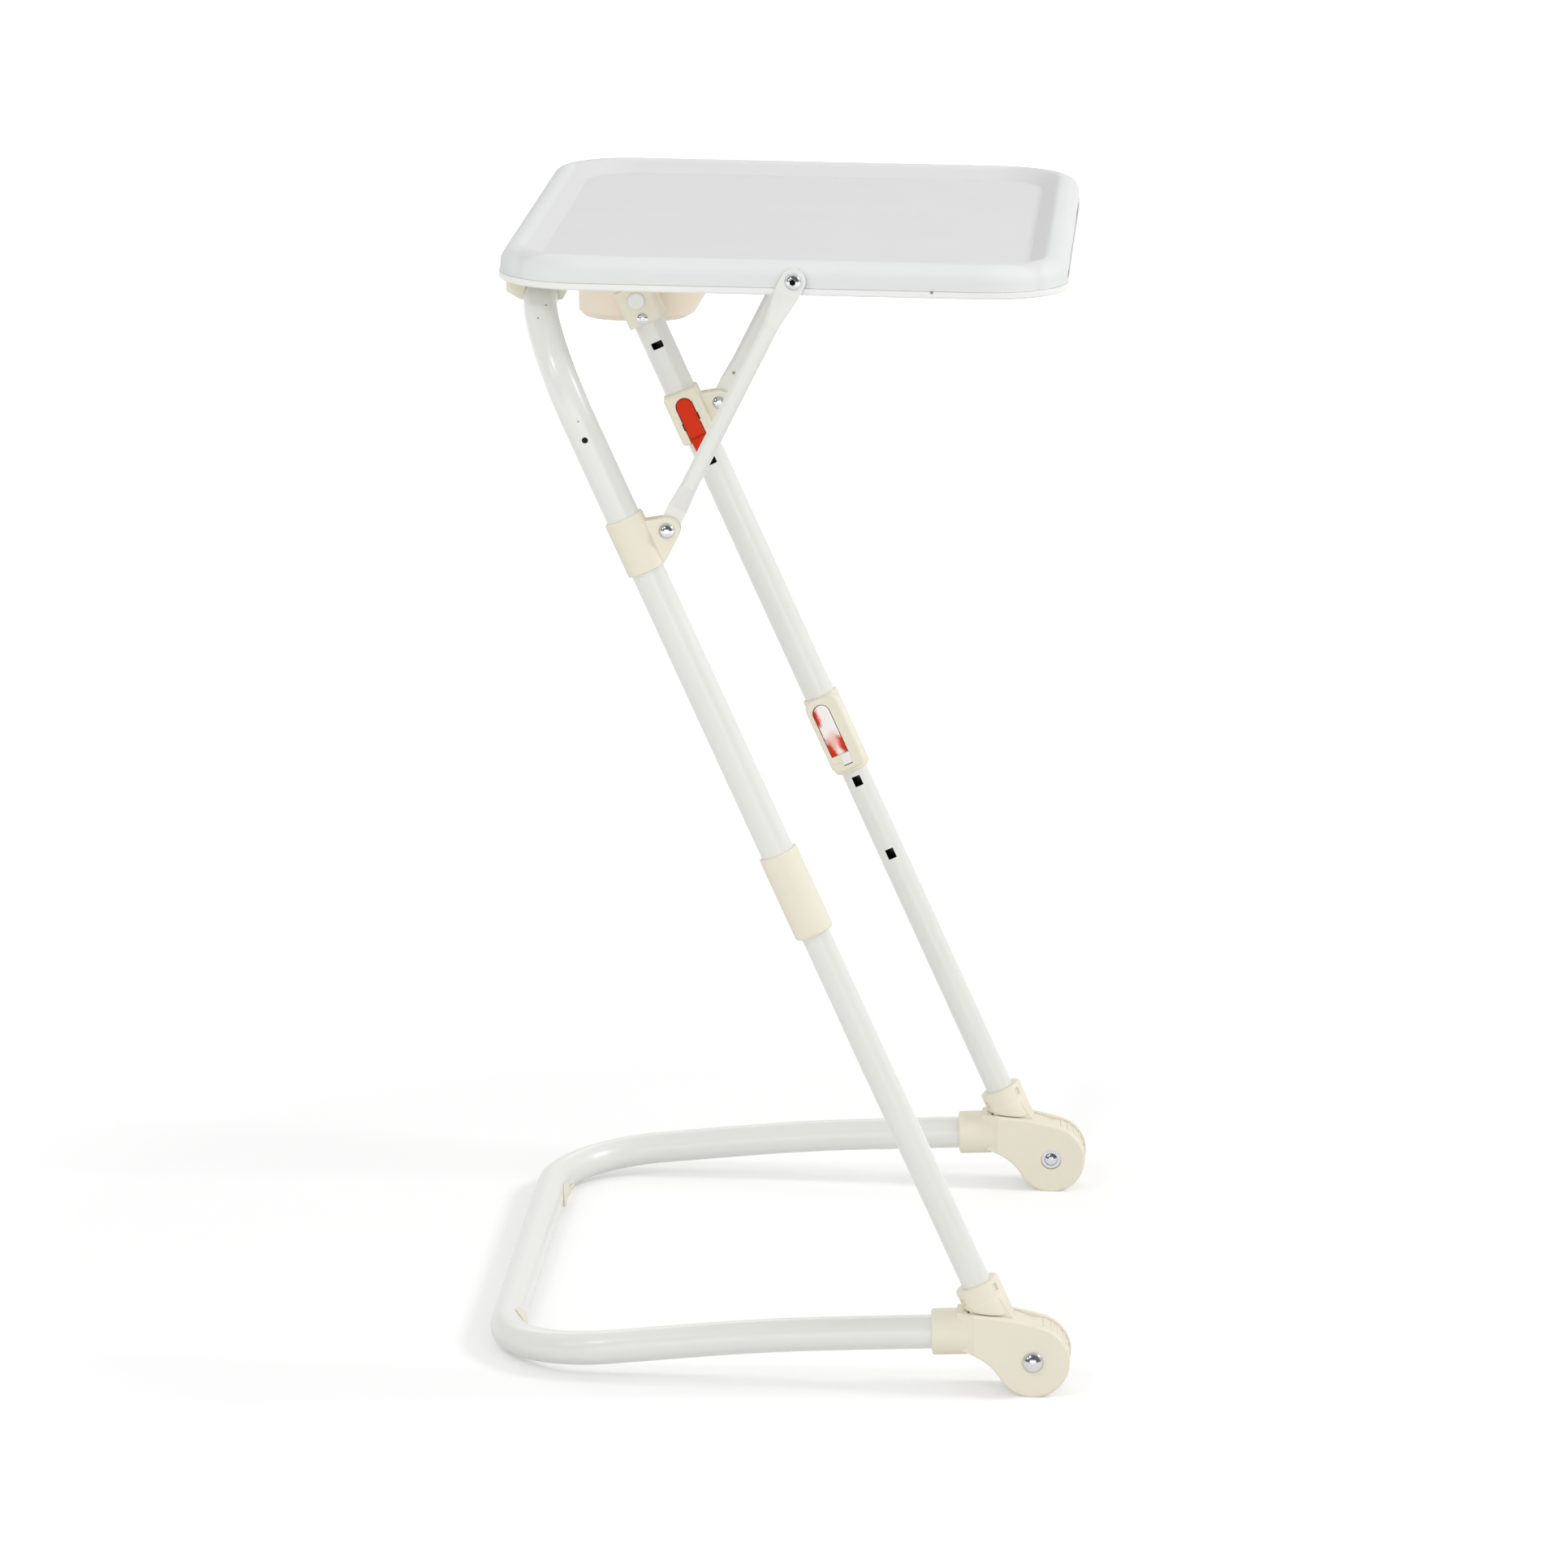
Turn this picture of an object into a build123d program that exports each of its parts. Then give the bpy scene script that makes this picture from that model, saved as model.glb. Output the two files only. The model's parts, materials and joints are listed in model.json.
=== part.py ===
from build123d import *
import os
from math import asin, atan2, cos, radians, sin

os.makedirs("parts", exist_ok=True)

# Folding tray table: X across the tray's short side, Y along its long side, Z up, floor at Z = 0.
# "near" pieces stand on the low Y side and "far" pieces on the high Y side of the middle plane.

# Driving dimensions, in millimetres and degrees
OVERALL_X = 384.6  # closed end of the base to the round end of the hinges
SIDE_Y = 239.0  # middle plane to the axis of either leg
LEG_ANGLE = 64.87  # legs above the floor
BOLT_Z = 23.4  # hinge bolt above the floor
LEG_OFFSET = 14.0  # leg axis beside the hinge bolt
PIVOT_S = 750.6  # hinge bolt to the tray's pivot tube, measured along the leg
TUBE_R = 11.0  # base and upper frame tube
TUBE_WALL = 1.2
LEG_R = 9.5  # lower leg tube, which slides inside the upper frame
BEND_R = 75.0  # bends of both U tubes, on the tube's axis
BASE_END_Z = 11.6  # base tube axis at its closed end
BASE_LIFT = 17.4  # base tube axis above the hinge bolt
BASE_SLOPE = 3.1  # base tube at the hinges
BOW_X = -4.0  # middle of the base tube's slight downward bow
BOW_HALF = 40.0
FIT = 0.05  # radial clearance of pins, sleeves and tube sockets
GAP = 0.3  # least room between faces that move past each other

TRAY_X = 361.0
TRAY_Y = 468.0
TRAY_CENTRE_X = -7.3
TRAY_CORNER = 54.0
LIP_Z = 712.6  # underside of the tray's lower lip
SEAM_Z = 717.2  # seam between the lower pan and the top
RIM_Z = 733.4  # top of the rim
RIM_WIDTH = 11.0
RECESS_DEPTH = 8.6
RECESS_SLOPE = 13.0  # width of the sloping wall round the recess
SKIN = 3.0  # wall of the tray mouldings
LIP = 1.0  # lip beyond the tray's side wall

FOOT_R = 24.0  # round end of the hinge, about the bolt
HINGE_HALF = 16.5
FORK_HALF = 10.5
COLLAR_R = 15.0
BOLT_R = 4.0
BOLT_HEAD_R = 6.8
BOLT_HEAD_H = 4.5

SLEEVE_R = 13.0  # slider and height sleeve, outside
SLIDER_S = 591.0  # middle of the slider along the leg
SLIDER_LENGTH = 37.0
PIN_OUT = 22.2  # strut pin beside the leg axis
PIN_R = 3.0
SLEEVE_LOW_S = 313.3
SLEEVE_TOP_S = 371.7
HEIGHT_HOLE_S = 363.0  # engaged height hole
HEIGHT_PITCH = 57.4
ANGLE_HOLE_S = 600.6  # engaged angle hole
ANGLE_PITCH = 44.7

STRUT_TOP_X = 2.3  # screw of the strut on the tray's side wall
STRUT_TOP_Z = 722.0
STRUT_IN = 235.6  # middle plane to the strut's inner face
STRUT_PLATE = 3.0  # pressed flat end
STRUT_BODY = 8.0
STRUT_WIDTH = 10.9
STRUT_TOP_R = 8.0
STRUT_LOW_R = 6.5
EAR_SLOT = 3.8
EAR_CHEEK = 5.0

CUP_NEAR = 14.0  # far leg axis to the cup holder's near wall
CUP_FAR = 106.0
CUP_LEFT_X = -184.0
CUP_RIM = 133.0  # length of the rim
CUP_FLOOR = 80.0  # length of the floor
CUP_LOW_Z = 612.0
CUP_TOP_Z = 690.0
CUP_WALL = 2.4
BOSS_S = 680.0  # pivot of the cup holder along the leg

# Positions worked out from the driving dimensions
SIDES = {"near": -1, "far": 1}
FAR = 1
MID_Y = (HINGE_HALF + BOLT_HEAD_H - CUP_FAR) / 2
BOLT_X = OVERALL_X / 2 - FOOT_R
BASE_END_X = TUBE_R + OVERALL_X / -2
RUN = Vector(cos(radians(BASE_SLOPE)), 0, sin(radians(BASE_SLOPE)))
BOW_Z = BOLT_Z + BASE_LIFT - (BOLT_X - BOW_X) * RUN.Z / RUN.X
END_SLOPE = atan2(BOW_Z - BASE_END_Z, BOW_X - BASE_END_X)
END_RUN = Vector(cos(END_SLOPE), 0, sin(END_SLOPE))
UP = Vector(-cos(radians(LEG_ANGLE)), 0, sin(radians(LEG_ANGLE)))
OUT = Vector(sin(radians(LEG_ANGLE)), 0, cos(radians(LEG_ANGLE)))
FACING_NEAR = (0, -1, 0)


def side_y(side, inward=0.0):
    """Y of a leg plane, moved inward to the middle of the table."""
    return MID_Y + side * (SIDE_Y - inward)


def leg_point(s, side, out=0.0, inward=0.0):
    """Point s up the leg from the bolt, moved out to the tray's side and inward to the middle."""
    return Vector(BOLT_X, side_y(side, inward), BOLT_Z) + UP * s + OUT * (out - LEG_OFFSET)


def leg_plane(s, side):
    """Plane square to a leg: local x points out to the tray, y along Y, z up the leg."""
    return Plane(origin=leg_point(s, side), x_dir=OUT, z_dir=UP)


def leg_side_plane(s, side, inward=0.0):
    """Plane along a leg, facing the near side: local x points out to the tray, y up the leg."""
    return Plane(origin=leg_point(s, side, inward=inward), x_dir=OUT, z_dir=FACING_NEAR)


def upright_plane(x, y, z):
    """Plane along X and Z with its origin at a point, facing the near side."""
    return Plane(origin=(x, y, z), x_dir=(1, 0, 0), z_dir=FACING_NEAR)


def hinge_plane(side):
    return upright_plane(BOLT_X, side_y(side), BOLT_Z)


def head_plane(x, y, z, outward):
    """Plane whose local y axis leaves a face along Y: outward is +1 or -1."""
    return Plane(origin=(x, y, z), x_dir=(1, 0, 0), z_dir=(0, 0, outward))


def save(piece, name):
    piece.part.label = name
    export_step(piece.part, f"parts/{name}.step")


def dome_profile(radius, height):
    """Half section of a domed fastener head that stands on the local x axis."""
    shoulder = 0.2 * height
    crown = height - shoulder
    sphere = (radius**2 + crown**2) / (2 * crown)
    half_turn = asin(min(1.0, radius / sphere)) / 2
    middle = (sphere * sin(half_turn), height - sphere + sphere * cos(half_turn))
    with BuildSketch() as profile:
        with BuildLine():
            Polyline((0, height), (0, 0), (radius, 0), (radius, shoulder))
            ThreePointArc((radius, shoulder), middle, (0, height))
        make_face()
    return profile.sketch


def cross_recess(plane, span, depth):
    """Driver recess of a cross-head screw, sunk from the crown of the head."""
    with BuildPart() as recess:
        with BuildSketch(plane):
            Rectangle(span, 0.24 * span)
            Rectangle(0.24 * span, span)
        extrude(amount=-depth)
    return recess.part


def tube_along(path, outer, inner):
    """Round bar along a path, hollow where inner is more than zero."""
    with BuildPart() as tube:
        with BuildSketch(Plane(origin=path @ 0, z_dir=path % 0)):
            Circle(outer)
            if inner > 0:
                Circle(inner, mode=Mode.SUBTRACT)
        sweep(path=path)
    return tube.part


# Base: one bent tube, with a pad near each closed corner
RUN_STOP = 46.5  # end of the base tube before the bolt, inside the hinge collar


def base_point(side, x):
    """Point of the base tube's axis between the bow and the hinge."""
    return Vector(BOW_X, side_y(side), BOW_Z) + RUN * ((x - BOW_X) / RUN.X)


def base_corner(side):
    return Vector(BASE_END_X, side_y(side), BASE_END_Z)


with BuildLine() as base_path:
    bow_low = [base_point(side, BOW_X) - END_RUN * BOW_HALF for side in SIDES.values()]
    FilletPolyline(bow_low[0], base_corner(-FAR), base_corner(FAR), bow_low[1], radius=BEND_R)
    for side, low in zip(SIDES.values(), bow_low):
        high = base_point(side, BOW_X) + RUN * BOW_HALF
        TangentArc(low, high, tangent=END_RUN)
        Line(high, base_point(side, BOLT_X - RUN_STOP))
base_line = base_path.wire()

with BuildPart() as base_tube:
    add(tube_along(base_line, TUBE_R, TUBE_R - TUBE_WALL))
save(base_tube, "base_tube")

PAD_LENGTH = 22.0
PAD_R = 13.2
PAD_RISE = 5.0  # arms of the pad above the tube's axis
PAD_TURN = radians(5.0)  # place of the pads round the bend
pad_in = BEND_R * (1 - cos(PAD_TURN))
for label, side in SIDES.items():
    pad_at = base_corner(side) + END_RUN * pad_in
    pad_at = pad_at + Vector(0, -side * BEND_R * (1 - sin(PAD_TURN)), 0)
    pad_along = Vector(-side * sin(PAD_TURN), -cos(PAD_TURN), 0)
    pad_across = Vector(cos(PAD_TURN), -side * sin(PAD_TURN), 0)
    with BuildPart() as base_pad:
        with BuildSketch(Plane(origin=pad_at, x_dir=pad_across, z_dir=pad_along)):
            Circle(PAD_R)
            with Locations((0, -pad_at.Z / 2)):
                Rectangle(1.5 * PAD_R, pad_at.Z)
            with Locations((0, PAD_RISE + PAD_R)):
                Rectangle(3 * PAD_R, 2 * PAD_R, mode=Mode.SUBTRACT)
            with Locations((0, -pad_at.Z - PAD_R)):
                Rectangle(3 * PAD_R, 2 * PAD_R, mode=Mode.SUBTRACT)
            with Locations((-PAD_R - 8, 0)):
                Rectangle(2 * PAD_R, 3 * PAD_R, mode=Mode.SUBTRACT)
        extrude(amount=PAD_LENGTH / 2, both=True)
        add(tube_along(base_line, TUBE_R + FIT, 0), mode=Mode.SUBTRACT)
    save(base_pad, f"base_pad_{label}")


# Hinges: a forked housing on the base tube, a knuckle on the leg and a bolt through both
def polar(radius, angle):
    return (radius * cos(radians(angle)), radius * sin(radians(angle)))


def hinge_outline(grow):
    """Side outline of the housing: round foot, sloping top and hollow underside."""
    radius = FOOT_R + grow
    foot_start = polar(radius, 212.0)
    foot_end = polar(radius, 74.0)
    top_left = (-50.0, 30.0 + grow)
    low_left = (-50.0, 4.3 - grow)
    low_bend = (-43.0, 4.3 - grow)
    with BuildSketch() as outline:
        with BuildLine():
            ThreePointArc(foot_start, polar(radius, -37.0), foot_end)
            TangentArc(foot_end, top_left, tangent=polar(1, 164.0))
            Polyline(top_left, low_left, low_bend)
            TangentArc(foot_start, low_bend, tangent=polar(1, 122.0))
        make_face()
    return outline.sketch


COLLAR_START = 66.0  # start of the base collar before the bolt
COLLAR_END = 40.0  # its end, inside the tapering cheeks
FORK_END = 43.0  # closed end of the fork before the bolt
KNUCKLE_LOW_S = 47.5
KNUCKLE_TOP_S = 59.5
SOCKET_S = 40.0  # lower end of the leg tube inside the knuckle
NECK_HALF = 10.5
SNAPS = ((-38, 54.3), (38, 54.3), (-146, 52.5), (146, 52.5))  # turn about the leg, place along it
EYE_R = 22.8
WASHER_R = 6.9
SCREW_R = 4.6
WELL = 2.6  # depth of the screw's well
for label, side in SIDES.items():
    collar_foot = base_point(side, BOLT_X - COLLAR_START)
    collar_plane = Plane(origin=collar_foot, x_dir=(0, 1, 0), z_dir=RUN)
    inner_y = side_y(side, HINGE_HALF)
    with BuildPart() as hinge_housing:
        with BuildSketch(hinge_plane(side)):
            add(hinge_outline(0))
        extrude(amount=HINGE_HALF, both=True)
        cheeks = hinge_housing.faces().filter_by(Axis.Y)
        fillet(cheeks.edges().filter_by(GeomType.CIRCLE), 1.8)
        with BuildSketch(Plane(origin=(BOLT_X, side_y(side), 0))):
            for edge in (-HINGE_HALF, HINGE_HALF):
                with BuildLine():
                    Polyline((-51, edge * 1.1), (-36, edge * 1.1), (-51, edge * 0.5), (-51, edge * 1.1))
                make_face()
        extrude(amount=4 * FOOT_R, mode=Mode.SUBTRACT)
        with BuildSketch(collar_plane):
            Circle(COLLAR_R)
        extrude(amount=COLLAR_START - COLLAR_END)
        fillet(hinge_housing.edges().filter_by(GeomType.CIRCLE).sort_by(Axis.X)[0], 1.5)
        with BuildSketch(collar_plane):
            Circle(TUBE_R + FIT)
        extrude(amount=(COLLAR_START - RUN_STOP) / RUN.X + FIT, mode=Mode.SUBTRACT)
        with BuildSketch(hinge_plane(side)):
            with Locations((3 * FOOT_R - FORK_END, 0)):
                Rectangle(6 * FOOT_R, 4 * FOOT_R)
        extrude(amount=FORK_HALF, both=True, mode=Mode.SUBTRACT)
        with BuildSketch(hinge_plane(side)):
            Circle(BOLT_R + FIT)
        extrude(amount=HINGE_HALF, both=True, mode=Mode.SUBTRACT)
        with BuildSketch(upright_plane(BOLT_X, inner_y, BOLT_Z)):
            Circle(WASHER_R + 0.2)
        extrude(amount=WELL, both=True, mode=Mode.SUBTRACT)
        split(bisect_by=Plane.XY, keep=Keep.TOP)
    save(hinge_housing, f"hinge_housing_{label}")

    with BuildPart() as leg_knuckle:
        with BuildSketch(leg_plane(SOCKET_S, side)):
            Circle(NECK_HALF)
        with BuildSketch(leg_plane(KNUCKLE_LOW_S, side)):
            Circle(COLLAR_R - 0.4)
        loft()
        with BuildSketch(leg_plane(KNUCKLE_LOW_S, side)):
            Circle(COLLAR_R - 0.4)
        extrude(amount=KNUCKLE_TOP_S - KNUCKLE_LOW_S)
        fillet(leg_knuckle.edges().filter_by(GeomType.CIRCLE).sort_by(Axis.Z)[-1], 1.2)
        with BuildSketch(hinge_plane(side)):
            add(hinge_outline(2 * GAP))
        extrude(amount=2 * HINGE_HALF, both=True, mode=Mode.SUBTRACT)
        with BuildSketch(hinge_plane(side)):
            Circle(EYE_R)
        with BuildSketch(leg_side_plane(0, side)):
            with BuildLine():
                Polyline(
                    (-NECK_HALF, -5),
                    (-NECK_HALF, KNUCKLE_LOW_S),
                    (NECK_HALF, KNUCKLE_LOW_S),
                    (NECK_HALF + 3, 30),
                    (NECK_HALF + 20, 14),
                    (NECK_HALF, -5),
                    (-NECK_HALF, -5),
                )
            make_face()
        extrude(amount=FORK_HALF - GAP, both=True)
        with BuildSketch(leg_plane(SOCKET_S, side)):
            Circle(LEG_R + FIT)
        extrude(amount=KNUCKLE_TOP_S, mode=Mode.SUBTRACT)
        with BuildSketch(hinge_plane(side)):
            Circle(BOLT_R + FIT)
        extrude(amount=HINGE_HALF, both=True, mode=Mode.SUBTRACT)
        for turn, snap_s in SNAPS:
            snap_dir = OUT * cos(radians(turn)) + Vector(0, 1, 0) * sin(radians(turn))
            snap_at = leg_point(snap_s, side) + snap_dir * (COLLAR_R - 1.6)
            with BuildSketch(Plane(origin=snap_at, x_dir=UP, z_dir=snap_dir)):
                Rectangle(4.6, 3.4)
            extrude(amount=4, mode=Mode.SUBTRACT)
    save(leg_knuckle, f"leg_knuckle_{label}")

    outer_y = side_y(side, -HINGE_HALF)
    outer_face = head_plane(BOLT_X, outer_y, BOLT_Z, side)
    bolt_length = 2 * HINGE_HALF - WELL
    with BuildPart() as hinge_bolt:
        with BuildSketch(outer_face):
            add(dome_profile(BOLT_HEAD_R, BOLT_HEAD_H))
        revolve(axis=Axis(outer_face.origin, (0, side, 0)))
        with BuildSketch(Plane(origin=outer_face.origin, z_dir=(0, -side, 0))):
            Circle(BOLT_R)
        extrude(amount=bolt_length)
    save(hinge_bolt, f"hinge_bolt_{label}")

with BuildPart() as hinge_washers:
    for side in SIDES.values():
        well_y = side_y(side, HINGE_HALF - WELL)
        with BuildSketch(Plane(origin=(BOLT_X, well_y, BOLT_Z), z_dir=(0, -side, 0))):
            Circle(WASHER_R)
            Circle(BOLT_R / 2, mode=Mode.SUBTRACT)
        extrude(amount=1.0)
save(hinge_washers, "hinge_washers")

with BuildPart() as hinge_screws:
    for side in SIDES.values():
        seat = head_plane(BOLT_X, side_y(side, HINGE_HALF - WELL + 1.0), BOLT_Z, -side)
        with BuildSketch(seat):
            add(dome_profile(SCREW_R, 2.4))
        revolve(axis=Axis(seat.origin, (0, -side, 0)))
        crown = Plane(origin=seat.origin - Vector(0, 2.4 * side, 0), z_dir=(0, -side, 0))
        add(cross_recess(crown, 4.2, 1.3), mode=Mode.SUBTRACT)
save(hinge_screws, "hinge_screws")

# Lower legs: plain near tube, far tube with height holes, and a glide in each upper end
LEG_TOP_S = 440.0
GLIDE_R = TUBE_R - TUBE_WALL - FIT
HOLE_ACROSS = 6.0
HOLE_ALONG = 7.5
for label, side in SIDES.items():
    with BuildPart() as lower_leg:
        with BuildSketch(leg_plane(SOCKET_S, side)):
            Circle(LEG_R)
            Circle(LEG_R - TUBE_WALL, mode=Mode.SUBTRACT)
        extrude(amount=LEG_TOP_S - SOCKET_S)
        if side == FAR:
            for step in range(3):
                hole_s = HEIGHT_HOLE_S - step * HEIGHT_PITCH
                with BuildSketch(leg_side_plane(hole_s, side)):
                    Rectangle(HOLE_ACROSS, HOLE_ALONG)
                extrude(amount=LEG_R + 1, mode=Mode.SUBTRACT)
    save(lower_leg, f"lower_leg_{label}")

    with BuildPart() as leg_glide:
        with BuildSketch(leg_plane(LEG_TOP_S, side)):
            Circle(GLIDE_R)
        extrude(amount=6)
        fillet(leg_glide.edges().filter_by(GeomType.CIRCLE).sort_by(Axis.Z)[-1], 1.0)
        with BuildSketch(leg_plane(LEG_TOP_S, side)):
            Circle(LEG_R - TUBE_WALL - FIT)
        extrude(amount=-14)
    save(leg_glide, f"leg_glide_{label}")

# Upper frame: one bent tube with the tray's pivot at its closed end
UPPER_LOW_S = 322.0
frame_plane = Plane(
    origin=leg_point(PIVOT_S, FAR, inward=SIDE_Y), x_dir=(0, 1, 0), z_dir=Vector(0, 1, 0).cross(UP)
)
frame_drop = UPPER_LOW_S - PIVOT_S
with BuildLine(frame_plane) as frame_path:
    FilletPolyline(
        (-SIDE_Y, frame_drop), (-SIDE_Y, 0), (SIDE_Y, 0), (SIDE_Y, frame_drop), radius=BEND_R
    )
frame_line = frame_path.wire()

with BuildPart() as upper_tube:
    add(tube_along(frame_line, TUBE_R, TUBE_R - TUBE_WALL))
    for step in range(-1, 2):
        with BuildSketch(leg_side_plane(ANGLE_HOLE_S + step * ANGLE_PITCH, FAR)):
            RectangleRounded(8.0, 5.0, 0.8)
        extrude(amount=TUBE_R + 1, mode=Mode.SUBTRACT)
    with BuildSketch(leg_side_plane(HEIGHT_HOLE_S, FAR)):
        Rectangle(HOLE_ACROSS + 1, HOLE_ALONG + 1)
    extrude(amount=TUBE_R + 1, mode=Mode.SUBTRACT)
    with BuildSketch(leg_side_plane(BOSS_S, FAR)):
        Circle(4.0)
    extrude(amount=TUBE_R + 1, both=True, mode=Mode.SUBTRACT)
    with BuildSketch(leg_side_plane(665.4, -FAR)):
        Circle(2.0)
    extrude(amount=TUBE_R + 1, mode=Mode.SUBTRACT)
save(upper_tube, "upper_tube")

# Height sleeves on the upper frame, and the slider pair; the far ones carry a rocking button
BUTTON_WIDTH = 11.4
WINDOW_WIDTH = 12.6
BUTTON_LOW = 12.9  # underside of a button from the leg axis
BUTTON_HIGH = 16.8
PAD_HIGH = 15.8
PAD_WIDTH = 25.0
ROCKER_OUT = 14.6  # rocker pin from the leg axis
ROCKER_R = 1.0
ROCKER_HALF = 8.0
BEVEL = 9.0  # sloping lower end of a button


def button_pad(low_s, top_s, corner):
    """Flat pad that carries a button on the inner face of the far leg."""
    plane = leg_side_plane((low_s + top_s) / 2, FAR)
    with BuildPart() as pad:
        with BuildSketch(plane):
            RectangleRounded(PAD_WIDTH, top_s - low_s, corner)
        extrude(amount=PAD_HIGH)
        fillet(pad.faces().sort_by(Axis.Y)[0].edges(), 2.4)
    return pad.part


def button_outline(length, width, shift):
    """Plan of a button or its window, beside the leg's middle: round at the upper end."""
    with BuildSketch() as plan:
        with Locations((shift, -width / 4)):
            Rectangle(width, length - width / 2)
        with Locations((shift, (length - width) / 2)):
            Circle(width / 2)
    return plan.sketch


def button_window(low_s, top_s, rocker_s, shift):
    """Window for a button through a pad and the wall behind it, with the rocker pin's hole."""
    with BuildPart() as window:
        with BuildSketch(leg_side_plane((low_s + top_s) / 2, FAR)):
            add(button_outline(top_s - low_s, WINDOW_WIDTH, shift))
        extrude(amount=2 * PAD_HIGH)
        with BuildSketch(Plane(origin=leg_point(rocker_s, FAR, shift, ROCKER_OUT), z_dir=OUT)):
            Circle(ROCKER_R + 0.02)
        extrude(amount=ROCKER_HALF + 0.2, both=True)
    return window.part


HEIGHT_SHIFT = -2.4  # height button beside the leg's middle
HEIGHT_ROCKER_S = 345.0
HEIGHT_BUTTON = (325.0, 367.0)
ANGLE_ROCKER_S = 586.0
ANGLE_BUTTON = (566.0, 604.5)
for label, side in SIDES.items():
    with BuildPart() as height_sleeve:
        with BuildSketch(leg_plane(SLEEVE_LOW_S, side)):
            Circle(SLEEVE_R)
        extrude(amount=SLEEVE_TOP_S - SLEEVE_LOW_S)
        fillet(height_sleeve.edges().filter_by(GeomType.CIRCLE).sort_by(Axis.Z)[0], 2.8)
        fillet(height_sleeve.edges().filter_by(GeomType.CIRCLE).sort_by(Axis.Z)[-1], 0.8)
        if side == FAR:
            add(button_pad(SLEEVE_LOW_S + 3, SLEEVE_TOP_S, 6.0))
        with BuildSketch(leg_plane(SLEEVE_LOW_S, side)):
            Circle(LEG_R + FIT)
        extrude(amount=SLEEVE_TOP_S, mode=Mode.SUBTRACT)
        with BuildSketch(leg_plane(UPPER_LOW_S, side)):
            Circle(TUBE_R + FIT)
        extrude(amount=SLEEVE_TOP_S, mode=Mode.SUBTRACT)
        if side == FAR:
            low_s, top_s = HEIGHT_BUTTON
            add(button_window(low_s - 0.5, top_s + 0.5, HEIGHT_ROCKER_S, HEIGHT_SHIFT), mode=Mode.SUBTRACT)
    save(height_sleeve, f"height_sleeve_{label}")

SLIDER_LOW_S = SLIDER_S - SLIDER_LENGTH / 2
SLIDER_TOP_S = SLIDER_S + SLIDER_LENGTH / 2
EAR_R = 8.6
SLOT_IN = SIDE_Y - STRUT_IN - STRUT_PLATE / 2  # middle of the strut's end inside the leg plane
EAR_HALF = EAR_SLOT / 2 + EAR_CHEEK
PIN_HEAD_H = 3.6
for label, side in SIDES.items():
    ear_plane = leg_side_plane(SLIDER_S, side, inward=SLOT_IN)
    with BuildPart() as slider:
        with BuildSketch(leg_plane(SLIDER_LOW_S, side)):
            Circle(SLEEVE_R)
        extrude(amount=SLIDER_LENGTH)
        fillet(slider.edges().filter_by(GeomType.CIRCLE), 1.2)
        with BuildSketch(ear_plane):
            with BuildLine():
                Polyline(
                    (6, 12.2),
                    (PIN_OUT - 9.5, 11.2),
                    (PIN_OUT + 3.7, 7.8),
                    (PIN_OUT + 6.2, -6.0),
                    (PIN_OUT - 9, -18),
                    (6, -18),
                    (6, 12.2),
                )
            make_face()
            with Locations((PIN_OUT, 0)):
                Circle(EAR_R)
        extrude(amount=EAR_HALF, both=True)
        if side == FAR:
            add(button_pad(SLIDER_LOW_S, SLIDER_TOP_S, 3.0))
        with BuildSketch(ear_plane):
            with Locations((SLEEVE_R + 1 + PIN_OUT / 2, 0)):
                Rectangle(PIN_OUT, 2 * SLIDER_LENGTH)
        extrude(amount=EAR_SLOT / 2, both=True, mode=Mode.SUBTRACT)
        with BuildSketch(ear_plane):
            with Locations((PIN_OUT, 0)):
                Circle(PIN_R + FIT)
        extrude(amount=EAR_HALF, both=True, mode=Mode.SUBTRACT)
        with BuildSketch(leg_plane(SLIDER_LOW_S, side)):
            Circle(TUBE_R + FIT)
        extrude(amount=SLIDER_LENGTH, mode=Mode.SUBTRACT)
        if side == FAR:
            low_s, top_s = ANGLE_BUTTON
            add(button_window(low_s - 1, top_s + 0.5, ANGLE_ROCKER_S, 0), mode=Mode.SUBTRACT)
    save(slider, f"slider_{label}")

    pin_at = leg_point(SLIDER_S, side, PIN_OUT, SLOT_IN)
    outer_face = head_plane(pin_at.X, pin_at.Y + side * EAR_HALF, pin_at.Z, side)
    inner_face = head_plane(pin_at.X, pin_at.Y - side * EAR_HALF, pin_at.Z, -side)
    with BuildPart() as slider_pin:
        with BuildSketch(outer_face):
            add(dome_profile(5.0, PIN_HEAD_H))
        revolve(axis=Axis(outer_face.origin, (0, side, 0)))
        with BuildSketch(Plane(origin=outer_face.origin, z_dir=(0, -side, 0))):
            Circle(PIN_R)
        extrude(amount=2 * EAR_HALF)
        with BuildSketch(inner_face):
            add(dome_profile(4.4, 2.0))
        revolve(axis=Axis(inner_face.origin, (0, side, 0)))
    save(slider_pin, f"slider_pin_{label}")


def button_pin(rocker_s, shift):
    """Rocker pin across a window."""
    with BuildPart() as pin:
        with BuildSketch(Plane(origin=leg_point(rocker_s, FAR, shift, ROCKER_OUT), z_dir=OUT)):
            Circle(ROCKER_R)
        extrude(amount=ROCKER_HALF, both=True)
    return pin


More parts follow.
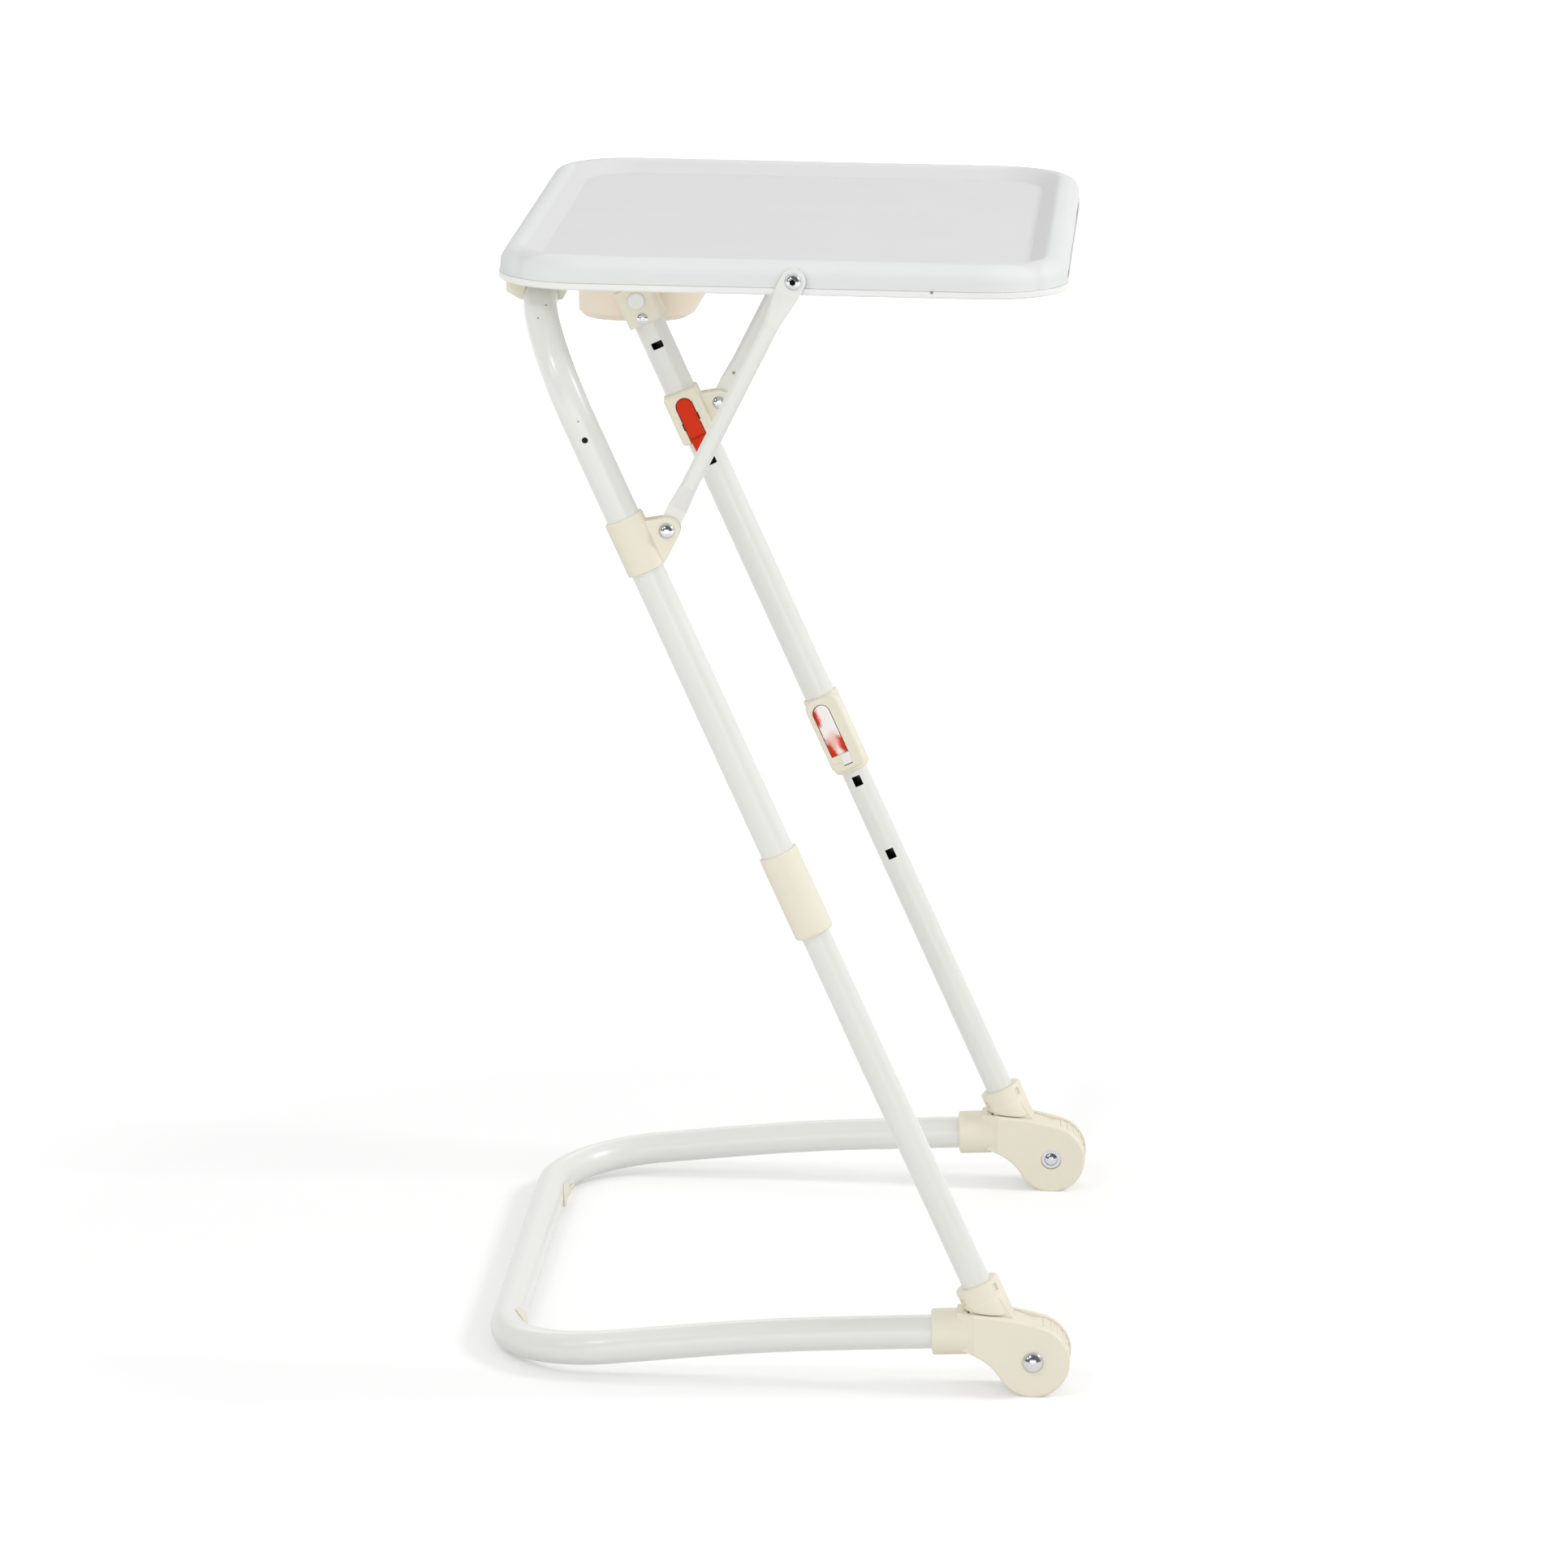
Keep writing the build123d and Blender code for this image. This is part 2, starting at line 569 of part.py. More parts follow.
BUTTONS = (
    ("height_button", HEIGHT_BUTTON, HEIGHT_SHIFT, HEIGHT_ROCKER_S, HEIGHT_HOLE_S, LEG_R + 0.35, 4.0, 5.5),
    ("angle_button", ANGLE_BUTTON, 0, ANGLE_ROCKER_S, ANGLE_HOLE_S, TUBE_R + 0.35, 7.0, 4.2),
)
for name, (low_s, top_s), shift, rocker_s, tooth_s, tooth_out, tooth_across, tooth_along in BUTTONS:
    with BuildPart() as button:
        with BuildSketch(leg_side_plane((low_s + top_s) / 2, FAR, BUTTON_LOW)):
            add(button_outline(top_s - low_s, BUTTON_WIDTH, shift))
        extrude(amount=BUTTON_HIGH - BUTTON_LOW)
        chamfer(button.faces().sort_by(Axis.Y)[0].edges(), 0.8)
        foot = leg_point(low_s, FAR, 0, BUTTON_HIGH)
        with BuildSketch(Plane(origin=foot, x_dir=UP, z_dir=OUT)):
            with BuildLine():
                Polyline((-1, 0.5), (BEVEL, 0.5), (BEVEL, 0), (-1, -3.2), (-1, 0.5))
            make_face()
        extrude(amount=PAD_WIDTH, both=True, mode=Mode.SUBTRACT)
        with BuildSketch(leg_side_plane(tooth_s, FAR, tooth_out)):
            with Locations((0.4 * shift, 0)):
                Rectangle(tooth_across, tooth_along)
        extrude(amount=BUTTON_LOW - tooth_out + 0.5)
        with BuildSketch(Plane(origin=leg_point(rocker_s, FAR, 0, ROCKER_OUT), z_dir=OUT)):
            Circle(ROCKER_R + FIT)
        extrude(amount=PAD_WIDTH, both=True, mode=Mode.SUBTRACT)
    save(button, name)
    rocker = button_pin(rocker_s, shift)
    save(rocker, f"{name}_pin")

    spring_s = rocker_s - 6.2
    with BuildPart() as spring:
        with BuildSketch(leg_side_plane(spring_s, FAR, TUBE_R + 0.35)):
            with Locations((shift, 0)):
                Rectangle(WINDOW_WIDTH - 2 * FIT, 6.5)
        extrude(amount=0.4)
    save(spring, f"{name}_spring")

# Struts: flat ended bars from the sliders to the tray's side walls
pin_at = leg_point(SLIDER_S, FAR, PIN_OUT, SLOT_IN)
strut_reach = Vector(STRUT_TOP_X - pin_at.X, 0, STRUT_TOP_Z - pin_at.Z)
STRUT_LENGTH = strut_reach.length
STRUT_DIR = strut_reach.normalized()
STRUT_SCREW_R = 2.6
STRUT_HEAD_H = 3.8
LOW_WIDTH = 13.0  # pressed flat lower end
LOW_PRESS = (15.0, 31.0)
TOP_PRESS = (9.0, 30.0)
for label, side in SIDES.items():
    outward = Vector(0, side, 0)
    foot = Vector(pin_at.X, MID_Y + side * STRUT_IN, pin_at.Z)
    strut_plane = Plane(origin=foot, x_dir=STRUT_DIR, z_dir=outward)
    sections = (
        (LOW_PRESS[0], LOW_WIDTH, STRUT_PLATE),
        (LOW_PRESS[1], STRUT_WIDTH, STRUT_BODY),
        (STRUT_LENGTH - TOP_PRESS[1], STRUT_WIDTH, STRUT_BODY),
        (STRUT_LENGTH - TOP_PRESS[0], 2 * STRUT_TOP_R, STRUT_PLATE),
    )
    with BuildPart() as strut:
        with BuildSketch(strut_plane):
            Circle(STRUT_LOW_R)
            with Locations((STRUT_LENGTH, 0)):
                Circle(STRUT_TOP_R)
            with Locations((LOW_PRESS[0] / 2, 0)):
                Rectangle(LOW_PRESS[0], LOW_WIDTH)
            with Locations((STRUT_LENGTH - TOP_PRESS[0] / 2, 0)):
                Rectangle(TOP_PRESS[0], 2 * STRUT_TOP_R)
        extrude(amount=STRUT_PLATE)
        for along, width, thick in sections:
            with BuildSketch(
                Plane(
                    origin=foot + STRUT_DIR * along,
                    x_dir=outward.cross(STRUT_DIR),
                    z_dir=STRUT_DIR,
                )
            ):
                with Locations((0, thick / 2)):
                    RectangleRounded(width, thick, 0.45 * thick)
        loft(ruled=True)
        with BuildSketch(strut_plane):
            Circle(PIN_R + FIT)
            with Locations((STRUT_LENGTH, 0)):
                Circle(STRUT_SCREW_R + FIT)
        extrude(amount=STRUT_PLATE, mode=Mode.SUBTRACT)
        with BuildSketch(strut_plane):
            with Locations((22.7, 0)):
                Circle(1.2)
        extrude(amount=STRUT_PLATE, mode=Mode.SUBTRACT)
    save(strut, f"strut_{label}")

    strut_face = head_plane(STRUT_TOP_X, MID_Y + side * (STRUT_IN + STRUT_PLATE), STRUT_TOP_Z, side)
    with BuildPart() as strut_screw:
        with BuildSketch(strut_face):
            add(dome_profile(5.25, STRUT_HEAD_H))
        revolve(axis=Axis(strut_face.origin, (0, side, 0)))
        with BuildSketch(Plane(origin=strut_face.origin, z_dir=(0, -side, 0))):
            Circle(STRUT_SCREW_R)
        extrude(amount=STRUT_PLATE)
        crown_y = MID_Y + side * (STRUT_IN + STRUT_PLATE + STRUT_HEAD_H)
        with BuildSketch(Plane(origin=(STRUT_TOP_X, crown_y, STRUT_TOP_Z), z_dir=outward)):
            RegularPolygon(2.1, 6)
        extrude(amount=-2.6, mode=Mode.SUBTRACT)
    save(strut_screw, f"strut_screw_{label}")

# Tray: dished top over a ribbed pan, turning on the upper frame's pivot tube
SEAM = 0.1
FLOOR_Z = RIM_Z - RECESS_DEPTH


def tray_plane(z):
    return Plane(origin=(TRAY_CENTRE_X, MID_Y, z))


def tray_outline(inset):
    """Plan of the tray, drawn in from its side wall."""
    with BuildSketch() as plan:
        RectangleRounded(TRAY_X - 2 * inset, TRAY_Y - 2 * inset, TRAY_CORNER - inset)
    return plan.sketch


with BuildPart() as tray_top:
    with BuildSketch(tray_plane(SEAM_Z + SEAM)):
        add(tray_outline(0))
    extrude(amount=RIM_Z - SEAM_Z - SEAM)
    fillet(tray_top.faces().sort_by(Axis.Z)[-1].edges(), 6.0)
    with BuildSketch(tray_plane(RIM_Z)):
        add(tray_outline(RIM_WIDTH))
    with BuildSketch(tray_plane(FLOOR_Z)):
        add(tray_outline(RIM_WIDTH + RECESS_SLOPE))
    loft(ruled=True, mode=Mode.SUBTRACT)
    with BuildSketch(tray_plane(SEAM_Z)):
        add(tray_outline(SKIN))
    extrude(amount=FLOOR_Z - SKIN - SEAM_Z, mode=Mode.SUBTRACT)
    with BuildSketch(tray_plane(SEAM_Z)):
        add(tray_outline(SKIN))
        add(tray_outline(SKIN + 7), mode=Mode.SUBTRACT)
    extrude(amount=RIM_Z - SEAM_Z - SKIN - 2, mode=Mode.SUBTRACT)
save(tray_top, "tray_top")

PLATE_Z = LIP_Z + 1.6
PLATE_T = 2.0
RIB_T = 2.2
with BuildPart() as tray_pan:
    with BuildSketch(tray_plane(LIP_Z)):
        add(tray_outline(-LIP))
    extrude(amount=SEAM_Z - LIP_Z)
    fillet(tray_pan.faces().sort_by(Axis.Z)[0].edges(), 1.6)
    with BuildSketch(tray_plane(PLATE_Z + PLATE_T)):
        add(tray_outline(SKIN + 2))
    extrude(amount=SEAM_Z, mode=Mode.SUBTRACT)
    with BuildSketch(tray_plane(LIP_Z)):
        add(tray_outline(4))
    extrude(amount=PLATE_Z - LIP_Z, mode=Mode.SUBTRACT)
    with BuildSketch(tray_plane(LIP_Z)):
        with GridLocations(60.0, 0, 5, 1):
            Rectangle(RIB_T, TRAY_Y - 8)
        with GridLocations(0, 70.0, 1, 6):
            Rectangle(TRAY_X - 8, RIB_T)
    extrude(amount=PLATE_Z - LIP_Z)
    with BuildSketch(tray_plane(SEAM_Z)):
        add(tray_outline(SKIN + FIT))
        add(tray_outline(SKIN + 2), mode=Mode.SUBTRACT)
    extrude(amount=SKIN)
save(tray_pan, "tray_pan")

PIVOT = leg_point(PIVOT_S, FAR, inward=SIDE_Y)
SADDLE_LENGTH = 48.0
SADDLE_IN = 103.0  # middle of a saddle inside the leg plane
SADDLE_TOP = 40.0
SADDLE_LEFT = 22.0
SADDLE_LOW = 27.0
SADDLE_DROP = 2.5  # how far a saddle reaches below the tube's axis
FLANGE = 16.0
for label, side in SIDES.items():
    saddle_y = side_y(side, SADDLE_IN)
    with BuildPart() as saddle:
        with BuildSketch(upright_plane(PIVOT.X, saddle_y, PIVOT.Z)):
            with BuildLine():
                Polyline(
                    (-SADDLE_LEFT, LIP_Z - PIVOT.Z),
                    (-SADDLE_LEFT, 11.5),
                    (-SADDLE_LOW / 2, 5.0),
                    (-SADDLE_LOW / 2, -SADDLE_DROP),
                    (SADDLE_LOW / 2, -SADDLE_DROP),
                    (SADDLE_TOP / 2, LIP_Z - PIVOT.Z),
                    (-SADDLE_LEFT, LIP_Z - PIVOT.Z),
                )
            make_face()
        extrude(amount=SADDLE_LENGTH / 2, both=True)
        fillet(saddle.edges().filter_by(Axis.Y).sort_by(Axis.Z)[:3], 2.0)
        flange_y = saddle_y - side * (SADDLE_LENGTH + FLANGE) / 2
        with BuildSketch(Plane(origin=(PIVOT.X, flange_y, LIP_Z))):
            Rectangle(SADDLE_TOP, FLANGE)
        extrude(amount=-4.0)
        with BuildSketch(upright_plane(PIVOT.X, saddle_y, PIVOT.Z)):
            Circle(TUBE_R + FIT)
        extrude(amount=SADDLE_LENGTH, both=True, mode=Mode.SUBTRACT)
    save(saddle, f"pivot_saddle_{label}")

SADDLE_SCREW_X = 13.5
with BuildPart() as saddle_screws:
    for side in SIDES.values():
        flange_y = side_y(side, SADDLE_IN + (SADDLE_LENGTH + FLANGE) / 2)
        for offset in (-SADDLE_SCREW_X, SADDLE_SCREW_X):
            seat = Plane(
                origin=(PIVOT.X + offset, flange_y, LIP_Z - 4.0), x_dir=(1, 0, 0), z_dir=(0, 1, 0)
            )
            with BuildSketch(seat):
                add(dome_profile(3.4, 2.0))
            revolve(axis=Axis(seat.origin, (0, 0, 1)))
save(saddle_screws, "saddle_screws")

# Cup holder outside the far leg, on a bracket that clamps the leg
BRACKET_LOW_S = 662.5
BRACKET_TOP_S = 690.0
BRACKET_WIDTH = 26.0
BRACKET_IN = 14.8  # inner face of the bracket from the leg axis
BRACKET_OUT = CUP_NEAR - 0.4
BOSS_R = 3.5
BOSS_HEAD_R = 5.8
BRACKET_SCREW_S = 667.0
with BuildPart() as cup_bracket:
    with BuildSketch(leg_plane(BRACKET_LOW_S, FAR)):
        with Locations((0, (BRACKET_OUT - BRACKET_IN) / 2)):
            RectangleRounded(BRACKET_WIDTH, BRACKET_OUT + BRACKET_IN, 4.0)
    extrude(amount=BRACKET_TOP_S - BRACKET_LOW_S)
    add(tube_along(frame_line, TUBE_R + FIT, 0), mode=Mode.SUBTRACT)
    with BuildSketch(leg_side_plane(BOSS_S, FAR)):
        Circle(BOSS_R + FIT)
    extrude(amount=2 * BRACKET_IN, both=True, mode=Mode.SUBTRACT)
save(cup_bracket, "cup_bracket")

screw_at = leg_point(BRACKET_SCREW_S, FAR, -1.2, BRACKET_IN)
screw_seat = head_plane(screw_at.X, screw_at.Y, screw_at.Z, -FAR)
with BuildPart() as bracket_screw:
    with BuildSketch(screw_seat):
        add(dome_profile(3.8, 2.0))
    revolve(axis=Axis(screw_seat.origin, (0, 1, 0)))
    crown = Plane(origin=screw_at - Vector(0, 2, 0), z_dir=FACING_NEAR)
    add(cross_recess(crown, 3.6, 1.2), mode=Mode.SUBTRACT)
save(bracket_screw, "cup_bracket_screw")

boss_at = leg_point(BOSS_S, FAR, inward=BRACKET_IN + GAP)
BOSS_END = 20.4  # end of the boss pin beyond the leg axis, inside the cup holder's wall
with BuildPart() as cup_pivot:
    with BuildSketch(Plane(origin=boss_at, z_dir=(0, -1, 0))):
        Circle(BOSS_HEAD_R)
    extrude(amount=2.6)
    fillet(cup_pivot.faces().sort_by(Axis.Y)[0].edges(), 0.8)
    with BuildSketch(Plane(origin=boss_at, z_dir=(0, 1, 0))):
        Circle(BOSS_R)
    extrude(amount=BRACKET_IN + GAP + BOSS_END)
save(cup_pivot, "cup_pivot")

CUP_CORNER = 38.0
CUP_LIP = 3.0
CUP_SLIM = 12.0  # floor narrower than the rim
cup_y = side_y(FAR, -(CUP_NEAR + CUP_FAR) / 2)
cup_width = CUP_FAR - CUP_NEAR


def cup_section(z, inset):
    """Plane and plan of the cup holder at a height, drawn in from its outside."""
    share = (z - CUP_LOW_Z) / (CUP_TOP_Z - CUP_LOW_Z)
    left = CUP_LEFT_X + CUP_LIP + (1 - share) * 2 + inset
    length = CUP_FLOOR + share * (CUP_RIM - 2 * CUP_LIP - CUP_FLOOR) - 2 * inset
    width = cup_width - 2 * CUP_LIP - (1 - share) * CUP_SLIM - 2 * inset
    with BuildSketch() as plan:
        RectangleRounded(length, width, CUP_CORNER - 2 - (1 - share) * 4 - inset)
    return Plane(origin=(left + length / 2, cup_y, z)), plan.sketch


with BuildPart() as cup_holder:
    for z in (CUP_LOW_Z, CUP_TOP_Z):
        level, plan = cup_section(z, 0)
        with BuildSketch(level):
            add(plan)
    loft(ruled=True)
    chamfer(cup_holder.faces().sort_by(Axis.Z)[0].edges(), 4.0)
    with BuildSketch(Plane(origin=(CUP_LEFT_X + CUP_RIM / 2, cup_y, CUP_TOP_Z))):
        RectangleRounded(CUP_RIM, cup_width, CUP_CORNER)
    extrude(amount=-CUP_LIP)
    with BuildSketch(Plane(origin=leg_point(BOSS_S, FAR, inward=-CUP_NEAR), z_dir=(0, 1, 0))):
        Circle(9.0)
    extrude(amount=BOSS_END - CUP_NEAR + 0.3)
    for z in (CUP_LOW_Z + CUP_WALL, CUP_TOP_Z):
        level, plan = cup_section(z, CUP_WALL)
        with BuildSketch(level):
            add(plan)
    loft(ruled=True, mode=Mode.SUBTRACT)
    with BuildSketch(Plane(origin=leg_point(BOSS_S, FAR, inward=-CUP_NEAR), z_dir=(0, 1, 0))):
        Circle(BOSS_R + FIT)
    extrude(amount=BOSS_END - CUP_NEAR, mode=Mode.SUBTRACT)
save(cup_holder, "cup_holder")
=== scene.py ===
import json
import math

import bmesh
import bpy
from mathutils import Matrix, Vector


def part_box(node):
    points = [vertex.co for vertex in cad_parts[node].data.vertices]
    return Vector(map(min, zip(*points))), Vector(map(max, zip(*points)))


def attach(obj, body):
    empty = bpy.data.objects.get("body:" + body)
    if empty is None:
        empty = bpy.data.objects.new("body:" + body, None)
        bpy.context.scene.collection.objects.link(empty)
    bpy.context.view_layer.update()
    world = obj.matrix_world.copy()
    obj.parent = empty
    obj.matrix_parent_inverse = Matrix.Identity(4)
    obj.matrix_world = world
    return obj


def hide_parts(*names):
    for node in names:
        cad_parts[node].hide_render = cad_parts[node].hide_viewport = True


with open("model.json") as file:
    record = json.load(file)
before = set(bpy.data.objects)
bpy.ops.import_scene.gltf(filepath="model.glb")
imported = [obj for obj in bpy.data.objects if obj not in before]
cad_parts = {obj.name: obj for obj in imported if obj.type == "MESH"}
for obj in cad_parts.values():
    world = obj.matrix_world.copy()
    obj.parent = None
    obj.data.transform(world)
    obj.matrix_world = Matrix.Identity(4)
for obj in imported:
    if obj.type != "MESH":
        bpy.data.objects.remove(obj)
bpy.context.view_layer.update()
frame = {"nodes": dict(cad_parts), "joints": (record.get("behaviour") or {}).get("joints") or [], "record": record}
nodes = frame["nodes"]
scene = bpy.context.scene

# Places taken from the frame: the leg's direction, the hinge bolt, the tray's pivot and the leg planes
joints = {joint["name"]: joint for joint in frame["joints"]}
LEG_UP = Vector(joints["height_slide"]["axis"])
LEG_OUT = Vector((LEG_UP.z, 0, -LEG_UP.x))
BOLT = Vector(joints["base_fold"]["pos_m"])
PIVOT = Vector(joints["tray_fold"]["pos_m"])
MID_Y = BOLT.y
LEG_SIDE = sum(corner.y for corner in map(Vector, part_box("lower_leg_far"))) / 2 - MID_Y
NEAR, FAR = -1, 1
SIDES = {"near": NEAR, "far": FAR}

# How far the leg's axis passes behind the bolt
LEG_OFFSET = 0.014


def leg_point(along, out, inward, side=FAR):
    """Point on a leg: metres up from the bolt, out to the tray and inward to the middle."""
    foot = Vector((BOLT.x, MID_Y + side * (LEG_SIDE - inward), BOLT.z))
    return foot + LEG_UP * along + LEG_OUT * (out - LEG_OFFSET)


def between(limits, share):
    """Value at a share of the way from the first limit to the second."""
    return limits[0] + (limits[1] - limits[0]) * share


def linear(red, green, blue):
    """Linear colour of an 8-bit display colour."""
    parts = []
    for value in (red, green, blue):
        share = value / 255
        parts.append(share / 12.92 if share <= 0.04045 else ((share + 0.055) / 1.055) ** 2.4)
    return (*parts, 1.0)


# Shader building blocks, and the part of a soft noise's range that is spread out
SOFT_DETAIL = 2.0
SOFT_BAND = (0.3, 0.7)


def noise(tree, coords, scale, detail=3.0):
    """Soft random share at a scale."""
    node = tree.nodes.new("ShaderNodeTexNoise")
    node.inputs["Scale"].default_value = scale
    node.inputs["Detail"].default_value = detail
    tree.links.new(coords, node.inputs["Vector"])
    return node.outputs["Fac"]


def ramp(tree, source, low, high, start, end):
    """Maps a share between low and high to a value between start and end."""
    node = tree.nodes.new("ShaderNodeMapRange")
    node.inputs["From Min"].default_value = low
    node.inputs["From Max"].default_value = high
    node.inputs["To Min"].default_value = start
    node.inputs["To Max"].default_value = end
    tree.links.new(source, node.inputs["Value"])
    return node.outputs["Result"]


def maths(tree, operation, first, second=None):
    """Arithmetic on one socket, or on a socket and a second socket or number."""
    node = tree.nodes.new("ShaderNodeMath")
    node.operation = operation
    tree.links.new(first, node.inputs[0])
    if isinstance(second, float):
        node.inputs[1].default_value = second
    elif second is not None:
        tree.links.new(second, node.inputs[1])
    return node.outputs["Value"]


def blend_colour(tree, share, first, second):
    """Colour that goes from the first to the second with a share."""
    node = tree.nodes.new("ShaderNodeMix")
    node.data_type = "RGBA"
    tree.links.new(share, node.inputs["Factor"])
    for socket, value in ((node.inputs[6], first), (node.inputs[7], second)):
        if isinstance(value, tuple):
            socket.default_value = value
        else:
            tree.links.new(value, socket)
    return node.outputs[2]


def past(tree, coords, start, direction):
    """How far a point lies past start along a direction."""
    node = tree.nodes.new("ShaderNodeVectorMath")
    node.operation = "DOT_PRODUCT"
    node.inputs[1].default_value = direction
    tree.links.new(coords, node.inputs[0])
    return maths(tree, "SUBTRACT", node.outputs["Value"], float(start.dot(direction)))


def hypotenuse(tree, first, second):
    """Length of two distances at a right angle."""
    first = maths(tree, "MULTIPLY", first, first)
    second = maths(tree, "MULTIPLY", second, second)
    return maths(tree, "SQRT", maths(tree, "ADD", first, second))


def seen_directly(tree):
    """One where the camera, a mirror or glass sees the surface, zero where it lights other things."""
    path = tree.nodes.new("ShaderNodeLightPath")
    mirrored = maths(tree, "MAXIMUM", path.outputs["Is Glossy Ray"], path.outputs["Is Transmission Ray"])
    return maths(tree, "MAXIMUM", path.outputs["Is Camera Ray"], mirrored)


# Places of marks on the surfaces: each returns a function that builds a mask from one to zero
RAGGED_SCALE = 260.0
RAGGED_REACH = 0.25
BORE_EDGE = 0.0002
BORE_END = 0.001


def ball(place, radius, soft):
    """Inside a ball about a point."""

    def mask(tree, coords):
        node = tree.nodes.new("ShaderNodeVectorMath")
        node.operation = "DISTANCE"
        node.inputs[1].default_value = place
        tree.links.new(coords, node.inputs[0])
        return ramp(tree, node.outputs["Value"], radius, radius + soft, 1.0, 0.0)

    return mask


def leg_patch(along, out, half_along, half_out, soft):
    """Inside an ellipse along a leg, with a ragged soft edge."""

    def mask(tree, coords):
        centre = leg_point(along, out, 0)
        length = maths(tree, "DIVIDE", past(tree, coords, centre, LEG_UP), half_along)
        width = maths(tree, "DIVIDE", past(tree, coords, centre, LEG_OUT), half_out)
        grain = noise(tree, coords, RAGGED_SCALE, SOFT_DETAIL)
        ragged = ramp(tree, grain, *SOFT_BAND, -RAGGED_REACH, RAGGED_REACH)
        reach = maths(tree, "ADD", hypotenuse(tree, length, width), ragged)
        return ramp(tree, reach, 1.0 - soft, 1.0 + soft, 1.0, 0.0)

    return mask


def tube_inside(limit, straight):
    """Nearer than limit to either leg's axis, up to where the tube is straight."""

    def mask(tree, coords):
        foot = leg_point(0, 0, 0)
        parts = tree.nodes.new("ShaderNodeSeparateXYZ")
        tree.links.new(coords, parts.inputs["Vector"])
        across = maths(tree, "ABSOLUTE", maths(tree, "SUBTRACT", parts.outputs["Y"], MID_Y))
        across = maths(tree, "SUBTRACT", across, LEG_SIDE)
        reach = hypotenuse(tree, past(tree, coords, foot, LEG_OUT), across)
        inside = ramp(tree, reach, limit, limit + BORE_EDGE, 1.0, 0.0)
        low = ramp(tree, past(tree, coords, foot, LEG_UP), straight, straight + BORE_END, 1.0, 0.0)
        return maths(tree, "MULTIPLY", inside, low)

    return mask


def tray_floor(half_x, half_y, soft):
    """Over the flat floor of the tray."""

    def mask(tree, coords):
        low, high = (Vector(corner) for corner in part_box("tray_top"))
        middle = (low + high) / 2
        shares = []
        for axis, half in ((Vector((1, 0, 0)), half_x), (Vector((0, 1, 0)), half_y)):
            away = maths(tree, "ABSOLUTE", past(tree, coords, middle, axis))
            shares.append(ramp(tree, away, half, half + soft, 1.0, 0.0))
        return maths(tree, "MULTIPLY", *shares)

    return mask


# Scales, ranges and depths that every finish shares
DRIFT_SCALE = 7.0
DRIFT_BAND = (0.35, 0.75)
DRIFT = 0.35
FLECK_SCALE = 420.0
FLECK_DETAIL = 6.0
FLECK_BAND = (0.68, 0.76)
GLOSS_SCALE = 22.0
COAT_ROUGHNESS = 0.18
RELIEF_DEPTH = 0.0004
BEVEL_SAMPLES = 4


def surface(
    name, colour, dark, gloss, grain, bump,
    metal=0.0, coat=0.0, shine=0.5, edge=0.0006, specks=0.25, marks=(),
):
    """Procedural finish: colour drifts towards dark, gloss is a roughness range, grain a noise scale.

    Specks is how strongly small flecks show, and each mark is a mask and its colour.
    """
    material = bpy.data.materials.new(name)
    material.use_nodes = True
    tree = material.node_tree
    shader = tree.nodes["Principled BSDF"]
    coords = tree.nodes.new("ShaderNodeTexCoord").outputs["Object"]
    drift = ramp(tree, noise(tree, coords, DRIFT_SCALE), *DRIFT_BAND, 0.0, DRIFT)
    tint = blend_colour(tree, drift, colour, dark)
    flecks = ramp(tree, noise(tree, coords, FLECK_SCALE, FLECK_DETAIL), *FLECK_BAND, 0.0, specks)
    tint = blend_colour(tree, flecks, tint, dark)
    for mask, stain in marks:
        tint = blend_colour(tree, mask(tree, coords), tint, stain)
    tree.links.new(tint, shader.inputs["Base Color"])
    rough = ramp(tree, noise(tree, coords, GLOSS_SCALE, SOFT_DETAIL), *SOFT_BAND, *gloss)
    tree.links.new(rough, shader.inputs["Roughness"])
    shader.inputs["Metallic"].default_value = metal
    shader.inputs["Specular IOR Level"].default_value = shine
    shader.inputs["Coat Weight"].default_value = coat
    shader.inputs["Coat Roughness"].default_value = COAT_ROUGHNESS
    relief = tree.nodes.new("ShaderNodeBump")
    relief.inputs["Strength"].default_value = bump
    relief.inputs["Distance"].default_value = RELIEF_DEPTH
    tree.links.new(noise(tree, coords, grain, SOFT_DETAIL), relief.inputs["Height"])
    if edge:
        bevel = tree.nodes.new("ShaderNodeBevel")
        bevel.samples = BEVEL_SAMPLES
        bevel.inputs["Radius"].default_value = edge
        tree.links.new(bevel.outputs["Normal"], relief.inputs["Normal"])
    tree.links.new(relief.outputs["Normal"], shader.inputs["Normal"])
    return material


# Colours of marks: near-black painted shade for hollows, chips of wear, a painted highlight and its fringe, and
# painted shade along a fold
HOLLOW_SHADE = (0.004, 0.004, 0.004, 1.0)
CHIP = linear(146, 137, 122)
GLARE = linear(255, 248, 246)
GLARE_FRINGE = linear(246, 196, 186)
FOLD_SHADE = linear(172, 34, 6)

# Shared starts of finishes: colour, dark colour, roughness range, grain and bump
ENAMEL = (linear(234, 234, 229), linear(227, 227, 220), (0.285, 0.32), 260.0, 0.02)
RED = (linear(221, 52, 8), linear(206, 42, 8), (0.34, 0.46), 900.0, 0.06)
MATT = ((0.6, 0.8), 900.0, 0.05)
PAINT = {"coat": 0.35, "edge": 0.0, "specks": 0.1}

# Insides of the tubes, seen through their holes: near-black painted shade over the bare inner walls; radius that
# is still inside, and how far up the leg the tube is straight
LOWER_BORE_SHADE = (tube_inside(0.0089, 0.7), HOLLOW_SHADE)
UPPER_BORE_SHADE = (tube_inside(0.0104, 0.655), HOLLOW_SHADE)

